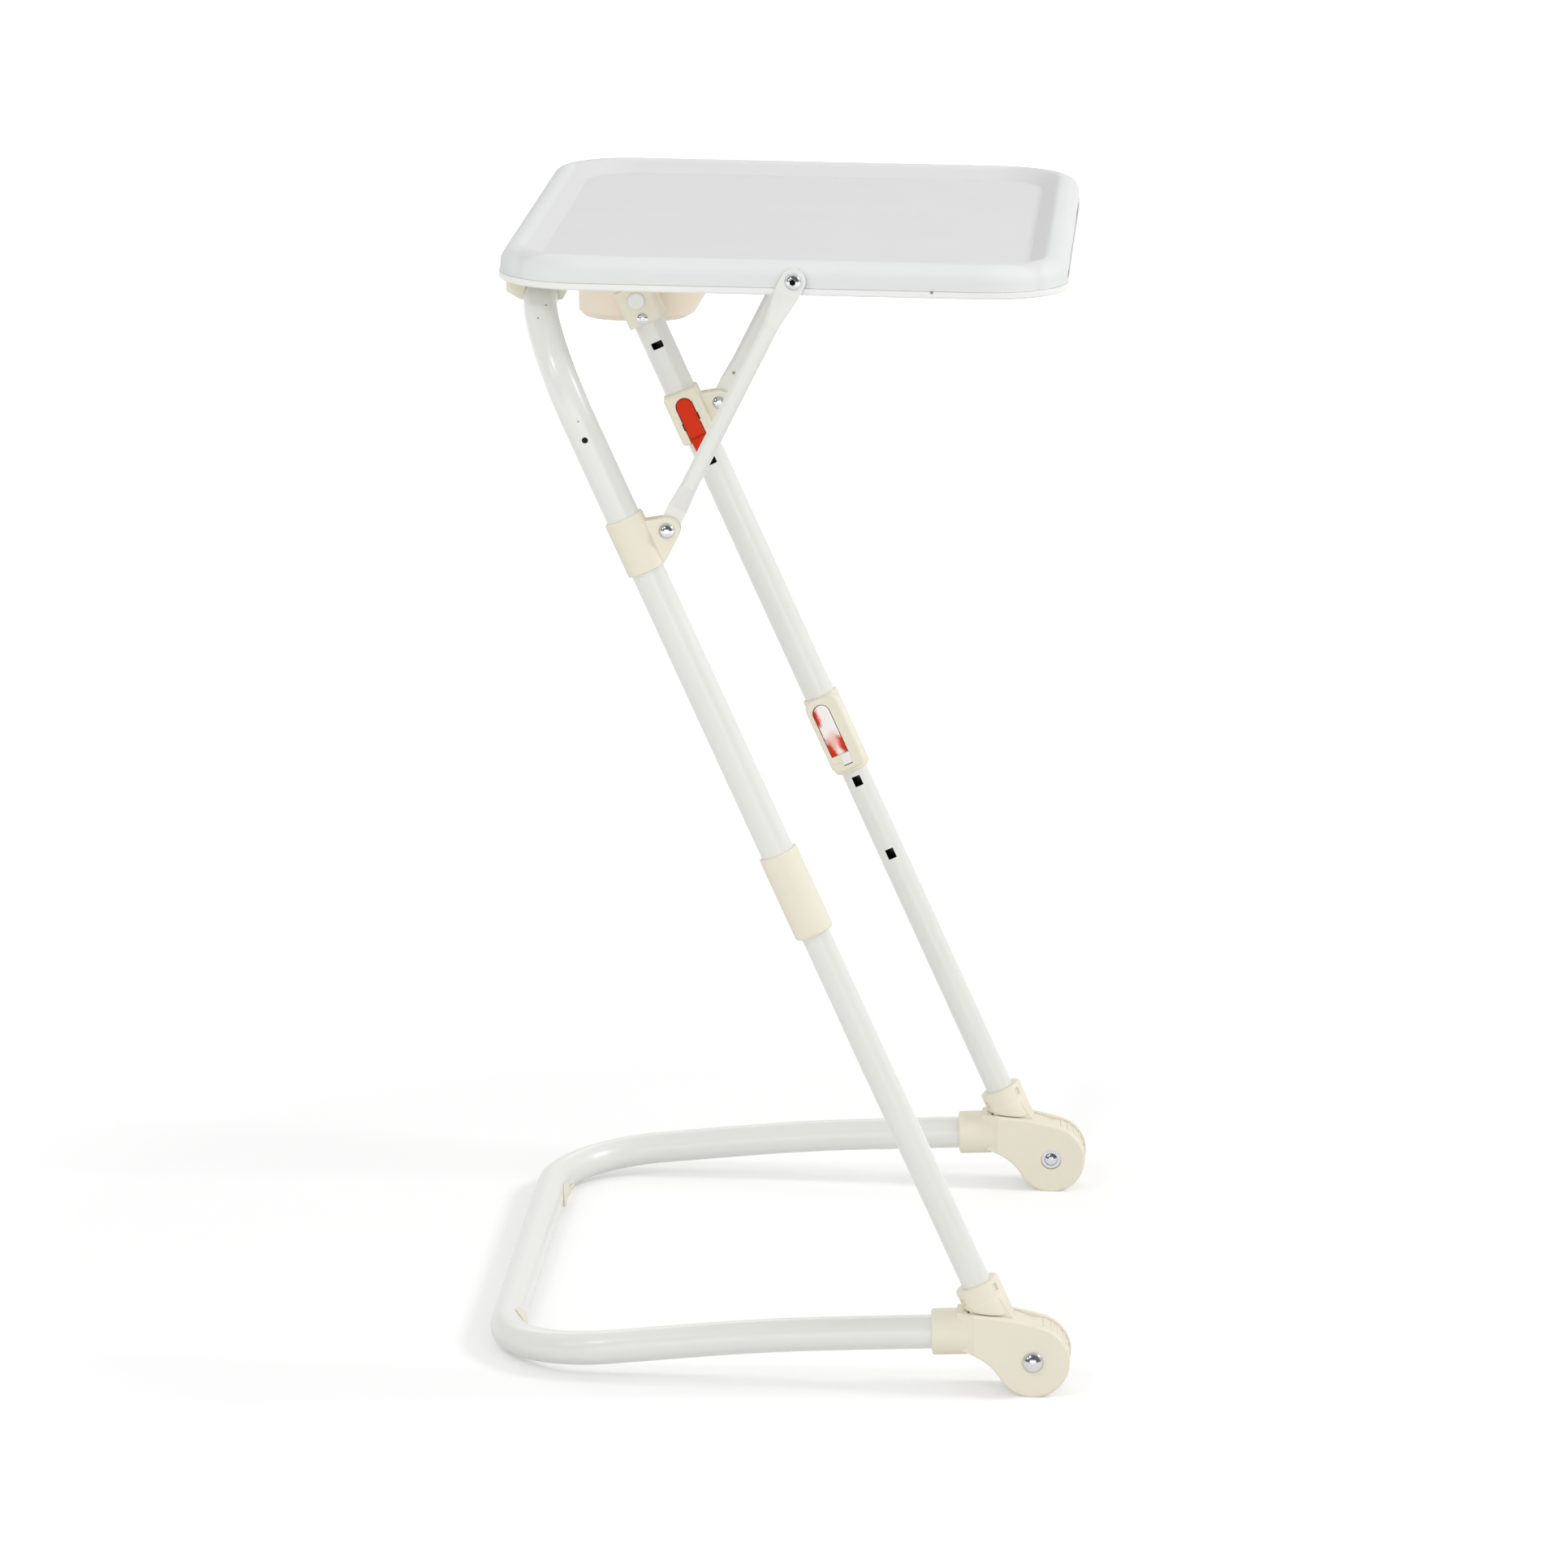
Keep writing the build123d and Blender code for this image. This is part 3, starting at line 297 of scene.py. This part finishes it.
# Chips on the near leg, by along, out, inward, radius and soft edge, and one on the tray's lip
CHIP_SPOTS = (
    (0.7487, 0.0068, 0.0344, 0.0005, 0.0006),
    (0.7464, 0.0061, 0.0350, 0.0005, 0.0006),
    (0.7444, 0.0003, 0.0235, 0.0004, 0.0005),
    (0.6780, 0.0012, -0.0108, 0.0003, 0.0006),
)
CHIPS = [
    (ball(leg_point(along, out, inward, NEAR), radius, soft), CHIP)
    for along, out, inward, radius, soft in CHIP_SPOTS
]
LIP_CHIP = (ball((0.0895, -0.2772, 0.7168), 0.0008, 0.0008), CHIP)

# Painted shade along the fold line across the angle lever, and a painted highlight on the height lever with red
# left at its edges
FOLD_SHADE_LINE = (leg_patch(0.5758, 0.0, 0.0009, 0.0100, 0.5), FOLD_SHADE)
PAINTED_GLARE = [
    (leg_patch(0.3480, -0.0020, 0.0300, 0.0140, 0.2), GLARE),
    (leg_patch(0.3375, -0.0024, 0.0075, 0.0060, 0.5), GLARE_FRINGE),
    (leg_patch(0.3290, -0.0012, 0.0065, 0.0020, 0.4), GLARE),
    (leg_patch(0.3602, -0.0078, 0.0075, 0.0028, 0.4), RED[0]),
    (leg_patch(0.3330, -0.0070, 0.0078, 0.0028, 0.4), RED[0]),
    (leg_patch(0.3345, 0.0026, 0.0070, 0.0028, 0.4), RED[0]),
]

# Painted shade in the drives of the screws at the struts' upper ends
SCREW_X, SCREW_REACH, SCREW_Z = 0.0023, 0.2396, 0.7220
DRIVE_R, DRIVE_EDGE = 0.0019, 0.0003
SCREW_DRIVE_SHADE = [
    (ball((SCREW_X, MID_Y + side * SCREW_REACH, SCREW_Z), DRIVE_R, DRIVE_EDGE), HOLLOW_SHADE)
    for side in SIDES.values()
]

# Greyer floor of the tray: its own neutral tone, and painted shade where it reaches over the lower part of the
# slopes; half its width, half its length and its soft edge
FLOOR_TONE_AND_SHADE = (tray_floor(0.1640, 0.2175, 0.004), linear(226, 226, 226))

# Finishes
enamel = surface("enamel", *ENAMEL, **PAINT)
enamel_lower = surface("enamel_lower", *ENAMEL, **PAINT, marks=[LOWER_BORE_SHADE])
enamel_upper = surface("enamel_upper", *ENAMEL, **PAINT, marks=[UPPER_BORE_SHADE, *CHIPS])
cream = surface("cream", linear(239, 233, 214), linear(234, 227, 206), (0.4, 0.54), 1400.0, 0.08)
cream_cup = surface("cream_cup", linear(244, 232, 212), linear(240, 226, 204), (0.4, 0.54), 1400.0, 0.08)
tray_white = surface(
    "tray_white", linear(232, 234, 233), linear(228, 230, 229), (0.62, 0.72), 1100.0, 0.06,
    shine=0.25, edge=0.0, marks=[FLOOR_TONE_AND_SHADE],
)
lip_white = surface(
    "lip_white", linear(242, 242, 238), linear(237, 236, 230), (0.36, 0.48), 1100.0, 0.06, marks=[LIP_CHIP]
)
red = surface("red", *RED, shine=0.15)
# Reds with painted shade along the angle lever's fold, and with a painted highlight on the height lever
red_fold_shade = surface("red_fold_shade", *RED, shine=0.15, marks=[FOLD_SHADE_LINE])
red_glare = surface("red_glare", *RED, shine=0.15, marks=PAINTED_GLARE)
zinc = surface(
    "zinc", linear(214, 216, 219), linear(192, 194, 199), (0.1, 0.2), 700.0, 0.04, metal=1.0, edge=0.0002,
    marks=SCREW_DRIVE_SHADE,
)
steel = surface(
    "steel", linear(170, 172, 175), linear(140, 142, 146), (0.3, 0.45), 900.0, 0.1, metal=1.0, edge=0.0
)
shadow = surface("shadow", linear(44, 40, 36), linear(32, 29, 27), *MATT, edge=0.0)
red_shadow = surface("red_shadow", linear(118, 30, 14), linear(92, 24, 12), *MATT, edge=0.0)
cream_shadow = surface("cream_shadow", linear(176, 160, 120), linear(150, 134, 98), *MATT, edge=0.0)

SLOT_LOOK = {
    "white_enamel": enamel,
    "cream_plastic": cream,
    "tray_plastic": tray_white,
    "lip_plastic": lip_white,
    "red_plastic": red,
    "bright_zinc": zinc,
    "spring_steel": steel,
}
NODE_LOOK = {
    "upper_tube": enamel_upper,
    "lower_leg_near": enamel_lower,
    "lower_leg_far": enamel_lower,
    "height_button": red_glare,
    "angle_button": red_fold_shade,
    "cup_holder": cream_cup,
}
slot_of = {entry["node"]: entry["material_slot"] for entry in frame["record"]["subparts"]}
for name, node in nodes.items():
    node.data.materials.clear()
    node.data.materials.append(NODE_LOOK.get(name, SLOT_LOOK[slot_of[name]]))


# Mesh helpers for the pieces that only the pictures need
BEVEL_TURN = 0.5
SHARP_TURN = math.radians(40)


def add_piece(name, shape, body, look):
    """Turns a finished bmesh into a piece that rides a body."""
    bmesh.ops.recalc_face_normals(shape, faces=shape.faces)
    mesh = bpy.data.meshes.new(name)
    shape.to_mesh(mesh)
    shape.free()
    piece = bpy.data.objects.new(name, mesh)
    scene.collection.objects.link(piece)
    mesh.materials.append(look)
    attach(piece, body)


def strip(shape, first, second):
    """Faces between two closed rows of vertices."""
    count = len(first)
    for k in range(count):
        after = (k + 1) % count
        shape.faces.new([first[k], first[after], second[after], second[k]])


def sweep(shape, rings):
    """Closed skin through rings of points."""
    rows = [[shape.verts.new(point) for point in ring] for ring in rings]
    for first, second in zip(rows, rows[1:]):
        strip(shape, first, second)
    shape.faces.new(rows[0])
    shape.faces.new(rows[-1])


def prism(shape, outline, depth):
    """Closed prism from an outline of points, pushed along a vector."""
    sweep(shape, [outline, [point + depth for point in outline]])


def bevelled(shape, offset):
    """Rounds the edges where faces meet at a clear angle."""
    bmesh.ops.recalc_face_normals(shape, faces=shape.faces)
    edges = [edge for edge in shape.edges if edge.calc_face_angle(0.0) > BEVEL_TURN]
    bmesh.ops.bevel(shape, geom=edges, offset=offset, segments=2, affect="EDGES", profile=0.5)


def smooth_but_sharp(shape):
    """Smooth shading that keeps the edges of a steep turn sharp."""
    bmesh.ops.recalc_face_normals(shape, faces=shape.faces)
    for face in shape.faces:
        face.smooth = True
    for edge in shape.edges:
        edge.smooth = edge.calc_face_angle(0.0) < SHARP_TURN


def leg_block(along, out, inward, offset):
    """Bevelled block on the far leg, between two limits in each direction."""
    shape = bmesh.new()
    corners = ((along[0], out[0]), (along[1], out[0]), (along[1], out[1]), (along[0], out[1]))
    outline = [leg_point(*corner, inward[0]) for corner in corners]
    prism(shape, outline, Vector((0, inward[0] - inward[1], 0)))
    bevelled(shape, offset)
    return shape


# Ledge over the lower end of the height lever, with painted shade in a dark strip below its tongue: limits along,
# out and inward, edge, look and slot of each
SILL_INWARD = (0.0157, 0.0160)
TONGUE_INWARD = (0.0157, 0.0164)
LEDGE = {
    "height_sill": ((0.3236, 0.3292), (-0.0098, 0.0050), SILL_INWARD, 0.0001, cream, "cream_plastic"),
    "height_tongue": ((0.3209, 0.3290), (-0.0027, 0.0034), TONGUE_INWARD, 0.0003, lip_white, "lip_plastic"),
    "height_tongue_gap": ((0.3203, 0.3209), (-0.0029, 0.0036), SILL_INWARD, 0.0001, shadow, "spring_steel"),
}
for name, (along, out, inward, edge, look, slot) in LEDGE.items():
    add_piece(name, leg_block(along, out, inward, edge), "upper_frame", look)

# Painted shade: dark red blocks at the ends of the angle lever's pin in its window; where each lies across and
# along the leg
NOTCH_HALF = 0.0026
NOTCH_INWARD = (0.0154, 0.01595)
NOTCH_EDGE = 0.0002
NOTCHES = {"left": ((-0.0070, -0.0060), -0.0005), "right": ((0.0060, 0.0070), 0.0035)}
PIN_ALONG = (Vector(joints["angle_press"]["pos_m"]) - BOLT).dot(LEG_UP)
for label, (out, shift) in NOTCHES.items():
    along = (PIN_ALONG + shift - NOTCH_HALF, PIN_ALONG + shift + NOTCH_HALF)
    notch = leg_block(along, out, NOTCH_INWARD, NOTCH_EDGE)
    add_piece(f"angle_notch_shade_{label}", notch, "sliders", red_shadow)

# Skirts that carry the knuckles' round collars down to the hinge, clear of its sloping top
SKIRT_R = 0.01462
SKIRT_BORE = 0.0098
SKIRT_TOP = 0.0495
SKIRT_GAP = 0.0008
SKIRT_LIFT = 0.0030
SKIRT_EDGE = 0.0004
SKIRT_STEPS = 72
HINGE_TOP_START = (0.0066, 0.0231)
HINGE_TOP_R = 0.1819
HINGE_TOP_TURN = math.radians(16)
hinge_top_x = HINGE_TOP_START[0] - HINGE_TOP_R * math.sin(HINGE_TOP_TURN)
hinge_top_z = HINGE_TOP_START[1] - HINGE_TOP_R * math.cos(HINGE_TOP_TURN)


def skirt_foot(out):
    """How far up the leg the skirt ends: just above the round of the hinge's top, higher on the outside."""
    across = LEG_OUT * (out - LEG_OFFSET) - Vector((hinge_top_x, 0, hinge_top_z))
    radius = HINGE_TOP_R + SKIRT_GAP + SKIRT_LIFT * max(0.0, out / SKIRT_R) ** 3
    return -across.dot(LEG_UP) + math.sqrt(radius**2 - across.dot(LEG_OUT) ** 2)


for label, side in SIDES.items():
    skirt = bmesh.new()
    rings = []
    for radius, top in ((SKIRT_BORE, True), (SKIRT_R, True), (SKIRT_R, False), (SKIRT_BORE, False)):
        ring = []
        for step in range(SKIRT_STEPS):
            turn = 2 * math.pi * step / SKIRT_STEPS
            out = radius * math.cos(turn)
            along = SKIRT_TOP if top else skirt_foot(out)
            ring.append(skirt.verts.new(leg_point(along, out, radius * math.sin(turn), side)))
        rings.append(ring)
    for first, second in zip(rings, rings[1:] + rings[:1]):
        strip(skirt, first, second)
    bevelled(skirt, SKIRT_EDGE)
    for face in skirt.faces:
        face.smooth = True
    add_piece(f"knuckle_skirt_{label}", skirt, "lower_legs", cream)

# Ribs across the round end of the knuckles, between the cheeks of the hinge
RIB_TURNS = range(-18, 84, 13)
RIB_LOW, RIB_HIGH = 0.0225, 0.0236
RIB_HALF = 0.0085
RIB_WIDTH = 0.0026
RIB_CROWN = 0.6
RIB_SECTION = ((RIB_LOW, -1), (RIB_HIGH, -RIB_CROWN), (RIB_HIGH, RIB_CROWN), (RIB_LOW, 1))
for label, side in SIDES.items():
    ribs = bmesh.new()
    middle = Vector((BOLT.x, MID_Y + side * LEG_SIDE - RIB_HALF, BOLT.z))
    for turn in RIB_TURNS:
        ray = Vector((math.cos(math.radians(turn)), 0, math.sin(math.radians(turn))))
        edge = Vector((-ray.z, 0, ray.x)) * (RIB_WIDTH / 2)
        outline = [middle + ray * radius + edge * share for radius, share in RIB_SECTION]
        prism(ribs, outline, Vector((0, 2 * RIB_HALF, 0)))
    add_piece(f"knuckle_ribs_{label}", ribs, "lower_legs", cream)

# Tray top with a rounded rim: rounded rectangles from the floor over the rim to the seam, then back inside
TRAY_CORNER = 0.054
CORNER_PULL = 0.65
CORNER_STEPS = 20
CORNER_SIGNS = ((1, 1), (-1, 1), (-1, -1), (1, -1))
RIM_WIDTH = 0.013
RECESS_DEPTH = 0.0086
RECESS_SLOPE = 0.0115
RIM_ROUND = 0.0105
SHOULDER_ROUND = 0.006
FLOOR_ROUND = 0.0015
ROUND_STEPS = 10
SKIN = 0.003
RIM_CORE = 4 * SKIN
RIM_SKIN = 1.2 * SKIN
dish_low, dish_high = (Vector(corner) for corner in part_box("tray_top"))
dish_middle = (dish_low + dish_high) / 2
dish_half = (dish_high - dish_low) / 2
floor_z = dish_high.z - RECESS_DEPTH
floor_inset = RIM_WIDTH + RECESS_SLOPE
slope_turn = math.atan2(RECESS_DEPTH, RECESS_SLOPE)


def dish_ring(inset, height):
    """Rounded rectangle at a height, drawn in from the tray's side wall, with corners that tighten."""
    corner = TRAY_CORNER - inset * CORNER_PULL
    reach_x = dish_half.x - inset - corner
    reach_y = dish_half.y - inset - corner
    points = []
    for quarter, (across, along) in enumerate(CORNER_SIGNS):
        for k in range(CORNER_STEPS + 1):
            turn = math.radians(90 * (quarter + k / CORNER_STEPS))
            x = dish_middle.x + across * reach_x + corner * math.cos(turn)
            y = dish_middle.y + along * reach_y + corner * math.sin(turn)
            points.append(Vector((x, y, height)))
    return points


def rounded(inset, height, radius, start, end):
    """Arc in place of a corner of the tray's profile, between two headings in radians."""
    sign = 1 if end > start else -1
    reach = radius * math.tan(abs(end - start) / 2)
    inset -= reach * math.cos(start)
    height -= reach * math.sin(start)
    points = []
    for k in range(ROUND_STEPS + 1):
        heading = between((start, end), k / ROUND_STEPS)
        across = sign * radius * (math.sin(heading) - math.sin(start))
        rise = sign * radius * (math.cos(start) - math.cos(heading))
        points.append((inset + across, height + rise))
    return points


profile = [(0.0, dish_low.z)]
profile += rounded(0.0, dish_high.z, RIM_ROUND, math.pi / 2, 0.0)
profile += rounded(RIM_WIDTH, dish_high.z, SHOULDER_ROUND, 0.0, -slope_turn)
profile += rounded(floor_inset, floor_z, FLOOR_ROUND, -slope_turn, 0.0)
profile.reverse()
profile += [
    (SKIN, dish_low.z),
    (SKIN, dish_high.z - RIM_CORE),
    (RIM_CORE, dish_high.z - RIM_SKIN),
    (floor_inset, floor_z - SKIN),
]
dish = bmesh.new()
sweep(dish, [dish_ring(inset, height) for inset, height in profile])
smooth_but_sharp(dish)
add_piece("tray_dish", dish, "tray", tray_white)
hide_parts("tray_top")

# Webs that close the outer ends of the tray's saddles, from the tube to the tray's left edge
WEB_LEFT = -0.0230
WEB_TOP = 0.0154
WEB_EDGE = ((WEB_LEFT, 0.0032), (-0.0222, 0.0020), (-0.0138, -0.0024), (-0.0122, -0.0026))
WEB_BORE = 0.0114
WEB_TURNS = range(190, 100, -10)
WEB_REACH = 0.0012
WEB_DEPTH = 0.0080
rays = [(math.cos(math.radians(turn)), math.sin(math.radians(turn))) for turn in WEB_TURNS]
web_outline = [(WEB_LEFT, WEB_TOP), *WEB_EDGE]
web_outline += [(WEB_BORE * x, WEB_BORE * z) for x, z in rays]
web_outline.append((WEB_BORE * rays[-1][0], WEB_TOP))
for label, side in SIDES.items():
    ends = [corner[1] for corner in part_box(f"pivot_saddle_{label}")]
    start = (max(ends) if side == FAR else min(ends)) + side * WEB_REACH
    web = bmesh.new()
    outline = [Vector((PIVOT.x + x, start, PIVOT.z + z)) for x, z in web_outline]
    prism(web, outline, Vector((0, -side * WEB_DEPTH, 0)))
    add_piece(f"saddle_web_{label}", web, "tray", cream)

# Floor pads where the base's bends begin: a foot under the tube and an arm up its inner side
BEND_R = 0.075
TUBE_R = 0.011
BASE_RISE = 0.112
PAD_WALL = 0.0020
PAD_PLAY = 0.0001
PAD_R = TUBE_R + PAD_WALL
BORE_R = TUBE_R + PAD_PLAY
PAD_STEPS = 14
FOOT_RUN = (-0.0045, 0.0175)
FOOT_ACROSS = (-0.0040, 0.0090)
FOOT_LEFT, FOOT_TOP, FOOT_RIGHT = -45, -20, -110
ARM_RUN = {"near": (-0.010, 0.018), "far": (-0.042, -0.002)}
ARM_TOP = {"near": 60, "far": 36}
ARM_SWELL = (0.12, 0.88)
ARM_TAPER = 0.7
tube_low = Vector(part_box("base_tube")[0])
tube_end = tube_low + Vector((TUBE_R, 0, TUBE_R))


def pad_point(side, run, across, rise):
    """Point beside the base tube: metres round the bend, inward of the tube's axis and above it."""
    bend = max(0.0, run) / BEND_R
    spoke = Vector((-math.cos(bend), side * math.sin(bend), 0))
    bend_y = MID_Y + side * (LEG_SIDE - BEND_R + min(0.0, run))
    axis = Vector((tube_end.x + BEND_R, bend_y, 0)) + spoke * BEND_R
    axis.z = tube_end.z + (axis.x - tube_end.x) * BASE_RISE
    return axis - spoke * across + Vector((0, 0, rise))


def arc(radius, start, end):
    """Places round the tube between two turns in degrees, as distances inward and up from its axis."""
    turns = [math.radians(between((start, end), k / PAD_STEPS)) for k in range(PAD_STEPS + 1)]
    return [(radius * math.cos(turn), radius * math.sin(turn)) for turn in turns]


def arm_section(top):
    """Section of a pad's arm: thick at the foot, thin at its top, hollow to the tube."""
    section = []
    for k, (across, rise) in enumerate(arc(1.0, FOOT_TOP, top)):
        radius = PAD_R - (PAD_R - BORE_R) * ARM_TAPER * k / PAD_STEPS
        section.append((across * radius, rise * radius))
    return section + arc(BORE_R, top, FOOT_TOP)


foot_section = arc(PAD_R, FOOT_LEFT, FOOT_TOP) + arc(BORE_R, FOOT_TOP, FOOT_RIGHT)
for label, side in SIDES.items():
    foot = []
    arm = []
    for step in range(PAD_STEPS + 1):
        share = step / PAD_STEPS
        run = between(FOOT_RUN, share)
        ring = [pad_point(side, run, across, rise) for across, rise in foot_section]
        sole = [pad_point(side, run, across, 0) for across in FOOT_ACROSS]
        foot.append(ring + [Vector((point.x, point.y, 0)) for point in sole])
        run = between(ARM_RUN[label], share)
        top = between((FOOT_TOP, ARM_TOP[label]), math.sin(math.pi * between(ARM_SWELL, share)))
        arm.append([pad_point(side, run, across, rise) for across, rise in arm_section(top)])
    pad = bmesh.new()
    sweep(pad, foot)
    sweep(pad, arm)
    add_piece(f"floor_pad_{label}", pad, "base", cream)
    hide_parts(f"base_pad_{label}")

# Painted shade: thin dark cream blocks sunk in the top of the hinges' collars stand for the slots for the base
# tube
SLOT_X = (-0.0625, -0.0565)
SLOT_Z = (0.0283, 0.0286)
SLOT_ACROSS = (-0.0045, -0.0035)
SLOT_DEPTH = 0.0015
SLOT_EDGE = 0.0003
SLOT_CORNERS = ((0, 0), (1, 0), (1, 1), (0, 1))
for label, side in SIDES.items():
    middle = Vector((BOLT.x, MID_Y + side * LEG_SIDE, BOLT.z))
    outline = [middle + Vector((SLOT_X[k], SLOT_ACROSS[across], SLOT_Z[k])) for k, across in SLOT_CORNERS]
    slot = bmesh.new()
    prism(slot, outline, Vector((0, 0, -SLOT_DEPTH)))
    bevelled(slot, SLOT_EDGE)
    add_piece(f"collar_slot_shade_{label}", slot, "base", cream_shadow)

# Painted shade: a dark strip in the open stretches of the seam on the right side of the tray; middle, half length
# and height of each
SEAM_Z = 0.7173
GAP_RANGE = (-0.205, 0.120)
GAP_STEPS = 60
GAP_THIN = 0.0003
GAP_PROUD = 0.0001
GAP_DEPTH = 0.0005
GAPS = ((0.070, 0.028, 0.0016), (-0.190, 0.010, 0.0012))
places = [between(GAP_RANGE, k / GAP_STEPS) for k in range(GAP_STEPS + 1)]
wall_x = dish_high.x + GAP_PROUD
outline = [Vector((wall_x, y, SEAM_Z)) for y in reversed(places)]
for y in places:
    height = GAP_THIN + sum(high * math.exp(-(((y - middle) / half) ** 2)) for middle, half, high in GAPS)
    outline.append(Vector((wall_x, y, SEAM_Z + height)))
seam_gap_shade = bmesh.new()
prism(seam_gap_shade, outline, Vector((-GAP_DEPTH, 0, 0)))
add_piece("seam_gap_shade", seam_gap_shade, "tray", shadow)

# Camera: place, turn and focal length found from the photograph's perspective
CAMERA_PLACE = Vector((0.2591, -4.7253, 1.4236))
CAMERA_TURNS = (3.32136, 12.96664, 0.79978)
CAMERA_LENS = 164.43
CAMERA_SENSOR = 36.0
CAMERA_REACH = 60.0
yaw, pitch, roll = (math.radians(turn) for turn in CAMERA_TURNS)
ahead = Vector((-math.sin(yaw) * math.cos(pitch), math.cos(yaw) * math.cos(pitch), -math.sin(pitch)))
level = Vector((math.cos(yaw), math.sin(yaw), 0))
above = level.cross(ahead)
right = math.cos(roll) * level + math.sin(roll) * above
up = math.cos(roll) * above - math.sin(roll) * level
camera = bpy.data.objects.new("camera", bpy.data.cameras.new("camera"))
scene.collection.objects.link(camera)
camera.matrix_world = Matrix.Translation(CAMERA_PLACE) @ Matrix((right, up, -ahead)).transposed().to_4x4()
camera.data.sensor_width = CAMERA_SENSOR
camera.data.lens = CAMERA_LENS
camera.data.clip_end = CAMERA_REACH
scene.camera = camera

# Stage: a pale floor, whiter with distance where it is seen, that keeps the shadow near the object
FLOOR_REACH = 20.0
FLOOR_GRAIN = 3.0
FLOOR_ROUGHNESS = 0.9
FLOOR_SHADES = ((0.78, 0.78, 0.78, 1.0), (0.75, 0.75, 0.75, 1.0))
FLOOR_NEAR, FLOOR_FADE = 0.5, 2.0
FLOOR_GLOW = 0.30
WHITE = (1.0, 1.0, 1.0, 1.0)
floor_mesh = bpy.data.meshes.new("floor")
floor_corners = [(x * FLOOR_REACH, y * FLOOR_REACH, 0) for x, y in ((-1, -1), (1, -1), (1, 1), (-1, 1))]
floor_mesh.from_pydata(floor_corners, [], [(0, 1, 2, 3)])
floor = bpy.data.objects.new("floor", floor_mesh)
scene.collection.objects.link(floor)
floor_look = bpy.data.materials.new("floor")
floor_look.use_nodes = True
tree = floor_look.node_tree
shader = tree.nodes["Principled BSDF"]
coords = tree.nodes.new("ShaderNodeTexCoord").outputs["Object"]
shade = blend_colour(tree, noise(tree, coords, FLOOR_GRAIN), *FLOOR_SHADES)
tree.links.new(shade, shader.inputs["Base Color"])
shader.inputs["Roughness"].default_value = FLOOR_ROUGHNESS
shader.inputs["Specular IOR Level"].default_value = 0.0
shader.inputs["Emission Color"].default_value = WHITE
near_object = ball((0, 0, 0), FLOOR_NEAR, FLOOR_FADE)(tree, coords)
white = ramp(tree, near_object, 0.0, 1.0, 1.0, FLOOR_GLOW)
tree.links.new(maths(tree, "MULTIPLY", white, seen_directly(tree)), shader.inputs["Emission Strength"])
floor_mesh.materials.append(floor_look)

# The room lights the object evenly; mirrors see its white back wall and its dim front
ROOM_LIGHT = 0.60
FRONT_DIM = 0.85
FRONT_BAND = (-0.4, 0.1)
world = bpy.data.worlds.new("room")
scene.world = world
world.use_nodes = True
tree = world.node_tree
backdrop = tree.nodes["Background"]
backdrop.inputs["Color"].default_value = WHITE
facing = tree.nodes.new("ShaderNodeSeparateXYZ")
tree.links.new(tree.nodes.new("ShaderNodeTexCoord").outputs["Generated"], facing.inputs["Vector"])
dim = ramp(tree, facing.outputs["Y"], *FRONT_BAND, FRONT_DIM, 0.0)
dim = maths(tree, "MULTIPLY", dim, tree.nodes.new("ShaderNodeLightPath").outputs["Is Glossy Ray"])
white = ramp(tree, seen_directly(tree), 0.0, 1.0, ROOM_LIGHT, 1.0)
white = maths(tree, "MULTIPLY", white, ramp(tree, dim, 0.0, 1.0, 1.0, 0.0))
tree.links.new(white, backdrop.inputs["Strength"])

# Soft lamps: place, target, size and power of each, the main one from the right
LAMPS = {
    "key": ((2.75, 0.0, 2.5), (0, 0, 0.3), (0.8, 0.8), 40),
    "left": ((-2.5, -2.1, 1.9), (0, 0, 0.5), (0.5, 0.8), 5),
    "upper": ((-1.19, -1.96, 2.51), (-0.15, -0.28, 0.67), (0.35, 0.5), 9),
    "back": ((-2.0, 6.5, 5.0), (0, 0, 0.4), (6.0, 2.0), 50),
    "front": ((0.3, -8.0, 1.6), (0, 0, 0.4), (8.0, 3.0), 140),
}
for name, (place, target, size, power) in LAMPS.items():
    light = bpy.data.objects.new(name, bpy.data.lights.new(name, "AREA"))
    light.data.shape = "RECTANGLE"
    light.data.size, light.data.size_y = size
    light.data.energy = power
    light.location = place
    light.rotation_euler = (Vector(target) - Vector(place)).to_track_quat("-Z", "Y").to_euler()
    scene.collection.objects.link(light)

scene.view_settings.view_transform = "Standard"
